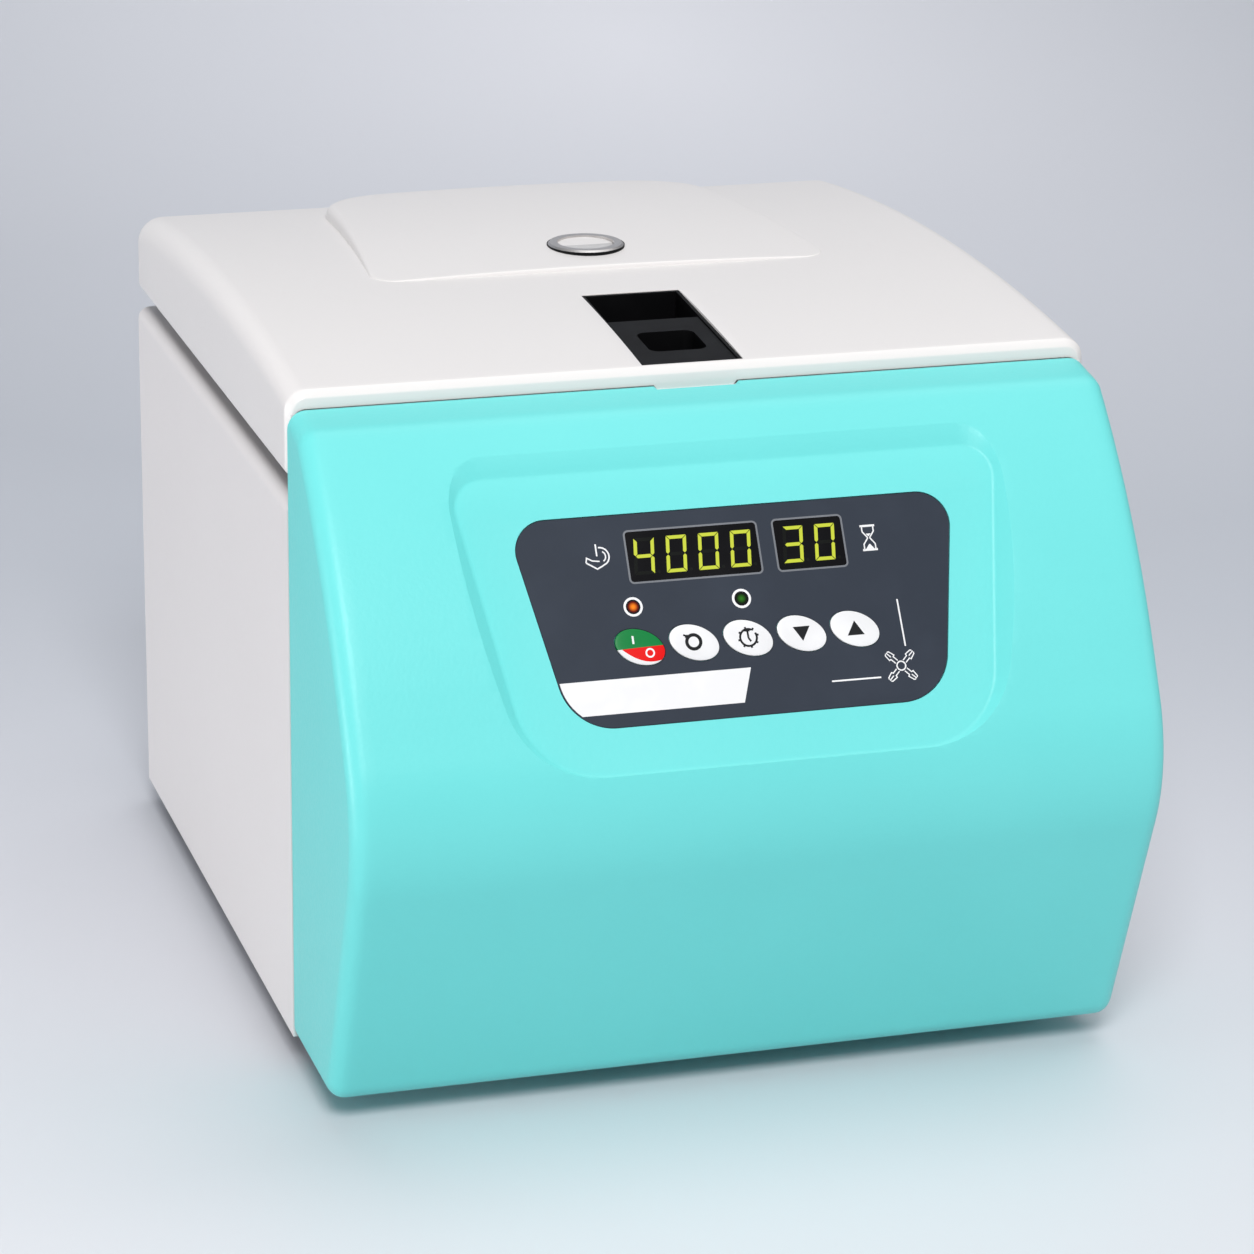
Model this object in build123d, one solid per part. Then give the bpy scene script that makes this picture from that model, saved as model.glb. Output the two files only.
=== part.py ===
"""Bench cytocentrifuge: a hinged-lid cabinet with a four-place swing-out slide rotor.

Millimetres. The origin lies on the bench under the middle of the machine, +X is to the
operator's right, +Y to the rear and +Z up. Each function returns one sub-part in its rest
place, and the list at the end writes one STEP file for each.
"""
import os
from math import atan2, cos, degrees, hypot, radians, sin, tan

from build123d import *

# ---------------------------------------------------------------- driving dimensions
# Cabinet
width = 315.0
nose_reach = 100.0
inlet_proud = 2.0
bowl_room = 23.0
sheet = 2.0
foot_height = 12.0
cabinet_top = 227.0
cabinet_corner_radius = 6.0
top_edge_radius = 5.0
top_flange = 14.0
pan_wall_height = 18.0
deck_thickness = 1.5
foot_radius = 15.0
foot_taper = 3.0
foot_inset_x = 20.0
foot_inset_y = 20.0
foot_front_inset = 32.0
louvre_count = 7
louvre_length = 62.0
louvre_height = 3.0
louvre_pitch = 9.0
louvre_z = 118.0
louvre_x = 78.0

# Front cover: side outline and moulded shell
cover_wall = 3.0
cover_bottom = 9.0
cover_top = 261.7
brow_reach = 20.0
brow_drop = 3.0
brow_radius = 9.0
face_angle = 26.4
lower_angle = 22.0
nose_radius = 63.6
nose_z = 131.5
upper_run = 43.6
toe_radius = 10.0
cheek_radius = 7.0
bulkhead_top = 260.2

# Recess and keypad panel, measured up the slope of the recess floor
recess_tilt = 32.0
recess_base_reach = 97.5
recess_base_z = 143.0
recess_bottom = 2.0
recess_top = 116.3
recess_half_bottom = 88.5
recess_half_top = 106.5
recess_low_radius = 32.0
recess_high_radius = 12.0
recess_draft = 44.0
recess_wall = 4.0
panel_bottom = 19.5
panel_top = 98.7
panel_half_bottom = 71.8
panel_half_top = 86.3
panel_low_radius = 20.0
panel_high_radius = 12.0
panel_thickness = 1.5
panel_inset = 0.3
seat_gap = 0.3

# Displays, lamps and keys on the panel
display_height = 19.0
display_depth = 8.0
speed_display_width = 50.3
speed_display_x = -16.9
time_display_width = 26.3
time_display_x = 28.3
display_v = 82.5
lamp_radius = 2.2
lamp_places = ((-42.8, 63.8), (-1.2, 63.6))
key_names = ("start_stop_key", "speed_key", "time_key", "down_key", "up_key")
key_first_x = -42.5
key_pitch = 20.75
key_v = 48.6
key_long_radius = 9.6
key_short_radius = 6.4
key_tilt = -22.0
key_proud = 0.7
key_body = 1.0
board_thickness = 1.6
board_margin = 8.0
post_radius = 3.0

# Lid
lid_bottom = 236.5
lid_wall = 3.0
lid_front_gap = 3.0
lid_crease_z = 268.7
lid_peak_setback = 107.0
lid_peak_z = 276.0
lid_rear_z = 266.0
lid_lip_height = 6.6
lid_side_radius = 12.0
lid_rear_radius = 10.0
plateau_front_gap = 119.0
plateau_peak_gap = 207.0
plateau_rear_gap = 20.0
plateau_front_z = 278.0
plateau_peak_z = 280.6
plateau_rear_z = 277.5
plateau_side_crown = 2600.0
plateau_half_front = 94.0
plateau_half_rear = 82.0
plateau_radius = 9.0
plateau_rear_radius = 30.0
plateau_draft = 15.0
liner_thickness = 2.0
liner_rise = 2.0
liner_rear_gap = 22.0
tab_width = 30.0
tab_drop = 1.8

# Sight glass over the rotor axis
bezel_radius = 15.5
bezel_proud = 1.2
bezel_seat = 0.8
bezel_stem_radius = 13.2
glass_radius = 11.5
glass_thickness = 3.0

# Lid latch and lock
pocket_half_width = 20.0
pocket_front = 1.0
pocket_rear = 84.0
housing_wall = 1.4
well_front = 53.0
well_depth = 16.0
paddle_bed = 4.9
paddle_thickness = 3.8
paddle_travel = 6.0
finger_front = 17.0
finger_rear = 39.0
finger_half_width = 11.5
finger_depth = 9.0
finger_wall = 1.2
finger_corner_radius = 4.0
hook_half_width = 6.0
hook_thickness = 3.0
hook_front = 4.6
hook_nose_height = 5.5
hook_nose_z = 230.0
lock_x = 28.0
lock_z = 232.0
lock_half_width = 16.0
lock_height = 22.0
lock_depth = 24.0
bolt_radius = 3.0
running_gap = 0.05
striker_thickness = 2.5
striker_half_width = 8.0
striker_front_gap = 5.0

# Lid hinge
hinge_setback = 8.0
hinge_z = 240.0
hinge_inset = 57.5
hinge_pin_radius = 3.0
hinge_boss_radius = 7.0
hinge_ear = 4.0
hinge_arm_reach = 45.0
hinge_arm_height = 16.0
hinge_notch_height = 15.5

# Chamber bowl, motor and rotor
bowl_radius = 126.0
bowl_wall = 2.0
bowl_floor = 100.0
bowl_floor_radius = 14.0
bowl_rim = 6.0
bowl_hole_radius = 15.0
gasket_width = 5.0
motor_radius = 40.0
motor_height = 60.0
motor_bore_depth = 50.0
plate_thickness = 4.0
plate_half = 62.0
plate_gap = 10.0
mount_radius = 9.0
mount_height = 18.0
stud_radius = 6.0
shaft_radius = 6.0
trunnion_z = 180.0
trunnion_reach = 66.0
hub_radius = 20.0
hub_height = 26.0
arm_half_width = 4.5
arm_height = 12.0
ear_thickness = 5.0
ear_height = 18.0
ear_length = 32.0
trunnion_radius = 3.0
nut_radius = 12.0
nut_height = 11.0
nut_flutes = 8
flute_radius = 2.4

# Slide carriers: a microscope slide, its filter card and a sample chamber in each
carrier_count = 4
slide_length = 76.0
slide_width = 26.0
slide_thickness = 1.0
slide_end_gap = 0.6
slide_side_gap = 0.4
cheek_thickness = 4.2
groove_depth = 2.4
cheek_top_radius = 8.0
carrier_drop = 44.0
tray_thickness = 1.8
tray_lip = 1.6
tray_lip_height = 5.0
window_length = 44.0
window_width = 14.0
card_length = 70.0
card_width = 24.0
card_thickness = 0.5
outlet_radius = 3.4
chamber_base = 3.5
chamber_base_length = 34.0
chamber_bore = 7.0
chamber_skin = 1.5
funnel_radius = 11.5
funnel_height = 10.0
funnel_rise = 4.0
clip_thickness = 1.2
clip_width = 22.0

# Supply board on the base pan
supply_rise = 6.0
supply_margin = 8.0
supply_front_gap = 24.0
choke_margin = 10.0
choke_length = 30.0
choke_height = 28.0
capacitor_count = 3
capacitor_first = 62.0
capacitor_pitch = 22.0
capacitor_radius = 8.0
capacitor_height = 30.0
standoff_margin = 4.0

# Power inlet and rocker switch on the rear wall
inlet_inset = 61.5
inlet_z = 58.0
inlet_flange_width = 56.0
inlet_flange_height = 32.0
inlet_body_width = 46.0
inlet_body_height = 24.0
inlet_body_depth = 24.0
socket_x = -7.0
socket_width = 24.0
socket_height = 17.0
socket_depth = 17.0
blade_width = 2.0
blade_height = 4.0
blade_length = 10.0
blade_spacing = 7.0
drawer_x = 15.0
drawer_width = 10.0
drawer_height = 20.0
drawer_depth = 18.0
drawer_grip = 1.2
switch_spacing = 56.0
switch_height = 30.0
switch_width = 20.0
switch_flange = 3.0
switch_depth = 22.0
rocker_half_height = 12.5
rocker_depth = 7.0
rocker_tilt = 9.0
rocker_sink = 2.1
rocker_axle_radius = 1.5

# ---------------------------------------------------------------- worked-out places
half_width = width / 2
cabinet_depth = 2 * (bowl_radius + bowl_room)
depth = nose_reach + cabinet_depth + inlet_proud
front_y = nose_reach - depth / 2
rear_y = depth / 2 - inlet_proud
inner_x = half_width - sheet
inner_rear_y = rear_y - sheet
rotor_y = (front_y + rear_y) / 2
hinge_y = rear_y - hinge_setback
hinge_x = half_width - hinge_inset
inlet_x = half_width - inlet_inset
switch_x = inlet_x - switch_spacing
pan_floor = foot_height + sheet
deck_top = cabinet_top - sheet
past = 1.0
lid_front_y = front_y + lid_front_gap
lid_peak_y = lid_front_y + lid_peak_setback
plateau_front_y = lid_front_y + plateau_front_gap
plateau_peak_y = lid_front_y + plateau_peak_gap
plateau_rear_y = rear_y - plateau_rear_gap
liner_z = lid_bottom + liner_rise
bowl_outer = bowl_radius + bowl_wall
bowl_underside = bowl_floor - bowl_wall
plate_top = bowl_underside - plate_gap
plate_bottom = plate_top - plate_thickness
nose_spread = cos(radians(face_angle - lower_angle) / 2) / cos(radians(face_angle + lower_angle) / 2)
apex_reach = nose_reach + nose_radius * (nose_spread - 1)
toe_reach = apex_reach - (nose_z - cover_bottom) * tan(radians(lower_angle))
recess_plane = Plane(
    origin=(0, front_y - recess_base_reach, recess_base_z),
    x_dir=(1, 0, 0),
    z_dir=(0, -cos(radians(recess_tilt)), sin(radians(recess_tilt))),
)
panel_floor = -(panel_inset + panel_thickness)
board_top = panel_floor + panel_thickness - display_depth
display_places = (
    ("speed_display", speed_display_x, speed_display_width),
    ("time_display", time_display_x, time_display_width),
)
cheek_inner = slide_length / 2 + slide_end_gap
cheek_outer = cheek_inner + cheek_thickness
tray_half_width = slide_width / 2 + slide_side_gap + tray_lip
ear_inner = cheek_outer + slide_end_gap
slide_z = tray_thickness - carrier_drop
card_z = slide_z + slide_thickness
chamber_z = card_z + card_thickness
clip_z = chamber_z + chamber_base
chamber_radius = chamber_bore + chamber_skin
rocker_pivot_y = rear_y - rocker_sink - rocker_depth / 2


def block(x0, x1, y0, y1, z0, z1):
    """Box between two corners."""
    return Pos((x0 + x1) / 2, (y0 + y1) / 2, (z0 + z1) / 2) * Box(x1 - x0, y1 - y0, z1 - z0)


def rod(x, y, z0, z1, radius):
    """Upright cylinder between two heights."""
    return Pos(x, y, (z0 + z1) / 2) * Cylinder(radius, z1 - z0)


def rod_y(x, z, y0, y1, radius):
    """Cylinder along Y."""
    return Pos(x, (y0 + y1) / 2, z) * Rot(90, 0, 0) * Cylinder(radius, y1 - y0)


def rod_x(y, z, x0, x1, radius):
    """Cylinder along X."""
    return Pos((x0 + x1) / 2, y, z) * Rot(0, 90, 0) * Cylinder(radius, x1 - x0)


def rear_uprights(solid):
    """The vertical edges at a block's rear."""
    return solid.edges().filter_by(Axis.Z).group_by(Axis.Y)[-1]


def circle_through(points):
    """Centre and radius of the circle through three points of a side view."""
    (ya, za), (yb, zb), (yc, zc) = points
    span = 2 * (ya * (zb - zc) + yb * (zc - za) + yc * (za - zb))
    sa, sb, sc = ya**2 + za**2, yb**2 + zb**2, yc**2 + zc**2
    centre_y = (sa * (zb - zc) + sb * (zc - za) + sc * (za - zb)) / span
    centre_z = (sa * (yc - yb) + sb * (ya - yc) + sc * (yb - ya)) / span
    return centre_y, centre_z, hypot(ya - centre_y, za - centre_z)


def height_on(points, y):
    """Height at one place along the machine of the arc through three points."""
    centre_y, centre_z, radius = circle_through(points)
    return centre_z + (radius**2 - (y - centre_y) ** 2) ** 0.5


def circle_height(y):
    """Height of the lid's crowned top at one place along the machine."""
    return height_on(crown_points, y)


crown_points = ((lid_front_y, lid_crease_z), (lid_peak_y, lid_peak_z), (rear_y, lid_rear_z))
plateau_points = ((plateau_front_y, plateau_front_z), (plateau_peak_y, plateau_peak_z),
                  (plateau_rear_y, plateau_rear_z))
pocket_end_y = lid_front_y + pocket_rear
latch_slope = degrees(atan2(circle_height(pocket_end_y) - lid_crease_z, pocket_rear))
latch_plane = Plane(
    origin=(0, lid_front_y, lid_crease_z),
    x_dir=(1, 0, 0),
    z_dir=(0, -sin(radians(latch_slope)), cos(radians(latch_slope))),
)


# ---------------------------------------------------------------- cabinet
def cabinet_wrap():
    """Side and rear walls bent from one sheet, with a rounded top edge turned inward."""
    outer = block(-half_width, half_width, front_y, rear_y, foot_height, cabinet_top)
    outer = fillet(rear_uprights(outer), cabinet_corner_radius)
    top = outer.faces().sort_by(Axis.Z)[-1]
    outer = fillet(top.edges().sort_by(Axis.Y)[1:], top_edge_radius)
    inner = block(-inner_x, inner_x, front_y - past, inner_rear_y, foot_height - past, deck_top)
    inner = fillet(rear_uprights(inner), cabinet_corner_radius - sheet)
    ceiling = inner.faces().sort_by(Axis.Z)[-1]
    inner = fillet(ceiling.edges().sort_by(Axis.Y)[1:], top_edge_radius - sheet)
    flange_x = half_width - top_flange
    mouth = block(-flange_x, flange_x, front_y - past, rear_y - top_flange, deck_top - past,
                  cabinet_top + past)
    front_notch = block(-inner_x, inner_x, front_y - past, front_y + sheet, foot_height - past,
                        cabinet_top + past)
    wrap = outer - inner - mouth - front_notch
    for side in (-1, 1):
        for row in range(louvre_count):
            z = louvre_z + row * louvre_pitch
            slot = block(-louvre_length / 2, louvre_length / 2, inner_rear_y - past, rear_y + past,
                         z, z + louvre_height)
            wrap -= Pos(side * louvre_x, 0, 0) * slot
    wrap -= inlet_hole() + switch_hole()
    return wrap


def inlet_hole():
    """Rear-wall opening for the inlet body."""
    return block(inlet_x - inlet_body_width / 2, inlet_x + inlet_body_width / 2, inner_rear_y - past,
                 rear_y + past, inlet_z - inlet_body_height / 2, inlet_z + inlet_body_height / 2)


def switch_hole():
    """Rear-wall opening for the switch body."""
    return block(switch_x - switch_width / 2, switch_x + switch_width / 2, inner_rear_y - past,
                 rear_y + past, inlet_z - switch_height / 2, inlet_z + switch_height / 2)


def base_pan():
    """Floor tray with turned-up walls and welded studs under the motor plate."""
    pan = block(-inner_x, inner_x, front_y + sheet, inner_rear_y, foot_height, foot_height + pan_wall_height)
    pan = fillet(rear_uprights(pan), cabinet_corner_radius - sheet)
    hollow = block(sheet - inner_x, inner_x - sheet, front_y + 2 * sheet, inner_rear_y - sheet,
                   pan_floor, cabinet_top)
    pan -= hollow
    for x, y in mount_places():
        pan += rod(x, y, pan_floor, plate_bottom - mount_height, stud_radius)
    return pan


def feet():
    """Four moulded rubber feet."""
    places = [
        (side * (half_width - foot_inset_x), y)
        for side in (-1, 1)
        for y in (front_y + foot_front_inset, rear_y - foot_inset_y)
    ]
    foot = Pos(0, 0, foot_height / 2) * Cone(foot_radius - foot_taper, foot_radius, foot_height)
    return Compound([Pos(x, y, 0) * foot for x, y in places])


def front_bulkhead():
    """Upright sheet between the cabinet and the front cover, with the latch and bolt openings."""
    plate = block(-inner_x, inner_x, front_y, front_y + sheet, foot_height, bulkhead_top)
    nose_room = seat_gap + past
    plate -= block(-hook_half_width - nose_room, hook_half_width + nose_room, front_y - past,
                   front_y + sheet + past, hook_nose_z - nose_room, hook_nose_z + hook_nose_height + nose_room)
    plate -= rod_y(lock_x, lock_z, front_y - past, front_y + sheet + past, bolt_radius + seat_gap)
    return plate


def top_deck():
    """Deck plate that carries the bowl, under the wrap's turned-in flange."""
    deck_half = half_width - top_edge_radius
    plate = block(-deck_half, deck_half, front_y + sheet, rear_y - top_edge_radius,
                  deck_top - deck_thickness, deck_top)
    return plate - rod(0, rotor_y, deck_top - deck_thickness - past, deck_top + past, bowl_outer + seat_gap)


# ---------------------------------------------------------------- front cover
def cover_outline(back):
    """Side outline of the moulded cover, run on by the given length behind the joint plane."""
    def at(reach, z):
        return (front_y - reach, z)

    down = radians(face_angle)
    apex = at(apex_reach, nose_z)
    shoulder = (apex[0] + upper_run * sin(down), apex[1] + upper_run * cos(down))
    brow = at(brow_reach, cover_top - brow_drop)
    toe = at(toe_reach, cover_bottom)
    upper = TangentArc(shoulder, brow, tangent=(sin(down), cos(down)))
    lines = Curve() + [
        upper,
        Polyline(brow, at(0, cover_top), at(-back, cover_top), at(-back, cover_bottom), toe, apex, shoulder),
    ]
    side = make_face(lines)
    for corner, radius in ((brow, brow_radius), (apex, nose_radius), (toe, toe_radius)):
        vertex = side.vertices().sort_by_distance(Vector(*corner, 0))[0]
        side = fillet(vertex, radius)
    return side


def recess_sketch(grow):
    """Rounded trapezium of the recess floor, in the recess plane."""
    corners = [
        (-recess_half_bottom, recess_bottom), (recess_half_bottom, recess_bottom),
        (recess_half_top, recess_top), (-recess_half_top, recess_top),
    ]
    return rounded_plate(corners, recess_low_radius, recess_high_radius, grow)


def panel_sketch(grow):
    """Rounded trapezium of the keypad panel, in the recess plane."""
    corners = [
        (-panel_half_bottom, panel_bottom), (panel_half_bottom, panel_bottom),
        (panel_half_top, panel_top), (-panel_half_top, panel_top),
    ]
    return rounded_plate(corners, panel_low_radius, panel_high_radius, grow)


def rounded_plate(corners, low_radius, high_radius, grow):
    """Polygon with one radius for its low corners and one for its high ones, grown all round."""
    plate = make_face(Polyline(*corners, close=True))
    plate = fillet(plate.vertices().group_by(Axis.Y)[0], low_radius)
    plate = fillet(plate.vertices().group_by(Axis.Y)[-1], high_radius) if high_radius else plate
    return offset(plate, grow) if grow else plate


def on_panel(x, v, height):
    """Place in the recess plane, at a height over its floor."""
    return recess_plane * Pos(x, v, height)


def post_places():
    """Fixing posts at the corners of the control board."""
    low = key_v - key_long_radius
    high = display_v
    half = -key_first_x + key_long_radius
    return [(side * half, v) for side in (-1, 1) for v in (low, high)]


def front_cover():
    """Moulded cover: bulged shell, sunk keypad recess, panel seat and board posts."""
    run_back = 4 * cover_wall
    outline = cover_outline(run_back)
    outer = extrude(Plane.YZ * outline, half_width, both=True)
    inner = extrude(Plane.YZ * offset(outline, -cover_wall), half_width - cover_wall, both=True)
    for end in (0, -1):
        outer = fillet(outer.faces().sort_by(Axis.X)[end].edges(), cheek_radius)
        inner = fillet(inner.faces().sort_by(Axis.X)[end].edges(), cheek_radius - cover_wall)
    backing = extrude(recess_plane.offset(-recess_wall) * recess_sketch(recess_wall),
                      nose_reach / 4 + recess_wall,
                      taper=-recess_draft)
    inner -= backing
    cover = outer - inner
    cover -= extrude(recess_plane * recess_sketch(0), nose_reach / 4, taper=-recess_draft)
    cover -= extrude(recess_plane * panel_sketch(seat_gap), panel_floor)
    cover -= block(-width, width, front_y, front_y + 2 * run_back, 0, 2 * cover_top)
    for _, x, display_width in display_places:
        window = Box(display_width + 2 * seat_gap, display_height + 2 * seat_gap, 4 * recess_wall)
        cover -= on_panel(x, display_v, 0) * window
    for x, v in lamp_places:
        cover -= on_panel(x, v, 0) * Cylinder(lamp_radius + seat_gap, 4 * recess_wall)
    post_length = -board_top - recess_wall
    for x, v in post_places():
        cover += on_panel(x, v, -recess_wall - post_length / 2) * Cylinder(post_radius, post_length)
    notch_top = cover_top + past
    notch = Polyline((-tab_width / 2 - tab_drop, notch_top), (tab_width / 2 + tab_drop, notch_top),
                     (tab_width / 2, cover_top - tab_drop), (-tab_width / 2,
                                                             cover_top - tab_drop), close=True)
    cover -= Pos(0, front_y + past, 0) * extrude(Plane.XZ * make_face(notch), cover_wall + past)
    return cover


def keypad_panel():
    """Flat overlay panel with openings for keys, displays and lamps."""
    panel = extrude(recess_plane.offset(panel_floor) * panel_sketch(0), panel_thickness)
    for index in range(len(key_names)):
        panel -= key_place(index) * extrude(key_ellipse(seat_gap), 2 * recess_wall, both=True)
    for _, x, display_width in display_places:
        panel -= on_panel(x, display_v, 0) * Box(display_width, display_height, 4 * recess_wall)
    for x, v in lamp_places:
        panel -= on_panel(x, v, 0) * Cylinder(lamp_radius, 4 * recess_wall)
    return panel


def key_ellipse(grow):
    """Slanted elliptical key outline."""
    return Rot(0, 0, key_tilt) * Ellipse(key_long_radius + grow, key_short_radius + grow)


def key_place(index):
    """Middle of one key, at the panel's face."""
    return on_panel(key_first_x + index * key_pitch, key_v, -panel_inset)


def key(index):
    """Key cap that stands a little proud of the panel and travels towards the panel's seat."""
    cap = extrude(Pos(0, 0, -key_body) * key_ellipse(0), key_body + key_proud)
    return key_place(index) * cap


def display(x, display_width):
    """Seven-segment display module behind its window."""
    module = Box(display_width, display_height, display_depth)
    return on_panel(x, display_v, board_top + display_depth / 2) * module


def indicator_leds():
    """Two indicator lamps on the board, with domed heads level with the panel."""
    height = -panel_inset - board_top
    head = Pos(0, 0, (height - lamp_radius) / 2) * Sphere(lamp_radius)
    body = Cylinder(lamp_radius, height - lamp_radius) + head
    middle = board_top + (height - lamp_radius) / 2
    return Compound([on_panel(x, v, middle) * body for x, v in lamp_places])


def control_board():
    """Printed board that carries the displays, lamps and key contacts."""
    xs = [x for x, _ in post_places()]
    vs = [v for _, v in post_places()]
    top_v = display_v + display_height / 2 + board_margin
    low_v = min(vs) - board_margin
    board = Box(max(xs) - min(xs) + 2 * board_margin, top_v - low_v, board_thickness)
    return on_panel(0, (top_v + low_v) / 2, board_top - board_thickness / 2) * board


# ---------------------------------------------------------------- lid
def lid_outline(inset):
    """Side outline of the lid: crowned top and front lip, or the plain inside drawn in by the wall."""
    front = lid_front_y + inset
    rear = rear_y - inset
    low = lid_bottom - 4 * inset
    crown = [(front, circle_height(front) - inset), (lid_peak_y, lid_peak_z - inset),
             (rear, circle_height(rear) - inset)]
    lip = [] if inset else [(lid_front_y, lip_z() - past), (front_y + seat_gap, lip_z())]
    frame = Polyline(crown[2], (rear, low), (front, low), *lip, crown[0])
    side = make_face(Curve() + [ThreePointArc(*crown), frame])
    corner = side.vertices().sort_by_distance(Vector(*crown[2], 0))[0]
    return fillet(corner, lid_rear_radius - inset)


def lid_body(inset):
    """Lid block with rounded shoulders, drawn in all round by the shell's wall for its inside."""
    body = extrude(Plane.YZ * lid_outline(inset), half_width - inset, both=True)
    for end in (0, -1):
        rim = body.faces().sort_by(Axis.X)[end].edges()
        crest = [edge for edge in rim if edge.center().Z > lid_bottom and edge.center().Y > lid_front_y
                 + lid_wall + past]
        body = fillet(crest, lid_side_radius - inset)
    return body


def plateau(inset):
    """Wedge-shaped raised panel: slanted sides that rise rearward out of the lid to a crowned top."""
    corners = [
        (-plateau_half_front, plateau_front_y), (plateau_half_front, plateau_front_y),
        (plateau_half_rear, plateau_rear_y), (-plateau_half_rear, plateau_rear_y),
    ]
    shape = rounded_plate(corners, plateau_radius, plateau_rear_radius, -inset)
    base_z = lid_rear_z - lid_side_radius
    grown = offset(shape, (plateau_peak_z - base_z) * tan(radians(plateau_draft)))
    column = extrude(Plane.XY.offset(base_z) * grown, plateau_peak_z - base_z + past, taper=plateau_draft)
    return column & plateau_barrel(inset)


def plateau_barrel(inset):
    """Barrel whose top is the raised panel's crown, rounded both along and across the machine."""
    centre_y, centre_z, radius = circle_through(plateau_points)
    top = radius - inset
    sag = plateau_side_crown - (plateau_side_crown**2 - half_width**2) ** 0.5
    low = top - 2 * (lid_peak_z - lid_bottom)
    arc = ThreePointArc((-half_width, top - sag), (0, top), (half_width, top - sag))
    frame = Polyline((half_width, top - sag), (half_width, low), (-half_width, low), (-half_width, top - sag))
    section = Plane.XZ * make_face(Curve() + [arc, frame])
    spread = degrees(cabinet_depth / radius)
    barrel = revolve(Rot(spread / 2, 0, 0) * section, Axis.X, -spread)
    return Pos(0, centre_y, centre_z) * barrel


def lid_shell():
    """Moulded lid shell with its raised dome, sight-glass seat, latch cut-out and hinge notches."""
    shell = lid_body(0) + plateau(0) - lid_body(lid_wall) - plateau(lid_wall)
    seat_z = dome_top() - bezel_seat
    shell -= rod(0, rotor_y, seat_z, dome_top() + lid_wall, bezel_radius)
    shell -= rod(0, rotor_y, seat_z - 4 * lid_wall, dome_top(), bezel_stem_radius)
    cut_length = pocket_rear - pocket_front
    cut = Box(2 * pocket_half_width, cut_length, 2 * (well_depth + housing_wall + seat_gap))
    shell -= latch_plane * Pos(0, pocket_front + cut_length / 2, 0) * cut
    for side in (-1, 1):
        notch = block(-hinge_ear - past, 2 * hinge_ear + past, rear_y - 2 * lid_wall, rear_y + past,
                      lid_bottom - past, lid_bottom + hinge_notch_height)
        notch = notch if side > 0 else mirror(notch, Plane.YZ)
        shell -= Pos(side * hinge_x, 0, 0) * notch
    half_tab = tab_width / 2
    tab = Polyline((-half_tab - tab_drop, lip_z()), (half_tab + tab_drop, lip_z()),
                   (half_tab, lip_z() - tab_drop), (-half_tab, lip_z() - tab_drop), close=True)
    return shell + Pos(0, lid_front_y, 0) * extrude(Plane.XZ * make_face(tab), lid_front_gap - seat_gap)


def lip_z():
    """Underside of the lid's front lip."""
    return lid_crease_z - lid_lip_height


def dome_top():
    """Top of the raised dome over the rotor axis."""
    return height_on(plateau_points, rotor_y)


def lid_liner():
    """Inner lid plate with the sight hole and the slots for the hook."""
    side_x = half_width - lid_wall
    plate = block(-side_x, side_x, lid_front_y + lid_wall, rear_y - liner_rear_gap, liner_z, liner_z
                  + liner_thickness)
    plate -= rod(0, rotor_y, liner_z - past, liner_z + liner_thickness + past, bezel_stem_radius)
    return plate - hook_slot(liner_z - past, liner_z + liner_thickness + past)


def hook_slot(z0, z1):
    """Upright slot in which the hook's arm travels."""
    side = hook_half_width + past
    return block(-side, side, hook_y() - seat_gap, hook_y() + hook_thickness + paddle_travel + past, z0, z1)


def hook_y():
    """Front face of the hook's arm."""
    return lid_front_y + hook_front


def lid_gasket():
    """Rubber ring under the liner that closes on the bowl's rim."""
    low = cabinet_top + seat_gap
    middle = bowl_radius + gasket_width / 2
    ring = rod(0, rotor_y, low, liner_z, middle + gasket_width / 2)
    return ring - rod(0, rotor_y, low - past, liner_z + past, middle - gasket_width / 2)


def sight_glass_bezel():
    """Flanged ring that holds the sight glass in the dome."""
    seat_z = dome_top() - bezel_seat
    ring = rod(0, rotor_y, seat_z, dome_top() + bezel_proud, bezel_radius)
    crown = ring.edges().group_by(Axis.Z)[-1]
    ring = chamfer(crown, bezel_seat)
    ring += rod(0, rotor_y, seat_z - 2 * lid_wall, seat_z, bezel_stem_radius)
    ring -= rod(0, rotor_y, glass_seat(), dome_top() + lid_wall, glass_radius)
    return ring - rod(0, rotor_y, seat_z - 3 * lid_wall, glass_seat() + past, glass_radius - 2 * bezel_seat)


def glass_seat():
    """Underside of the sight glass."""
    return dome_top() - glass_thickness


def sight_glass():
    """Round window pane."""
    pane = rod(0, rotor_y, glass_seat(), dome_top(), glass_radius)
    return chamfer(pane.edges().group_by(Axis.Z)[-1], seat_gap)


# ---------------------------------------------------------------- latch and lock
def latch_block(x0, x1, s0, s1, h0, h1):
    """Box in the latch's own slope: across, back along the lid, and out of its surface."""
    return latch_plane * block(x0, x1, s0, s1, h0, h1)


def latch_housing():
    """Black insert: a bed for the paddle and a deep finger well behind it."""
    half = pocket_half_width
    inside = half - housing_wall
    body = latch_block(-half, half, pocket_front, pocket_rear, -well_depth - housing_wall, -seat_gap)
    body -= latch_block(-inside, inside, pocket_front + housing_wall, pocket_rear - housing_wall,
                        -paddle_bed, past)
    body -= latch_block(-inside, inside, well_front, pocket_rear - housing_wall, -well_depth, past)
    body -= latch_block(-inside, inside, pocket_front + housing_wall, well_front - housing_wall,
                        -well_depth - housing_wall - past, -paddle_bed - housing_wall)
    cup_side = finger_half_width + finger_wall + seat_gap
    body -= latch_block(-cup_side, cup_side, finger_front - finger_wall - seat_gap,
                        finger_rear + finger_wall + paddle_travel + seat_gap, -well_depth, -paddle_bed + past)
    low = lid_bottom + past
    return body - hook_slot(low, lid_crease_z)


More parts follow.
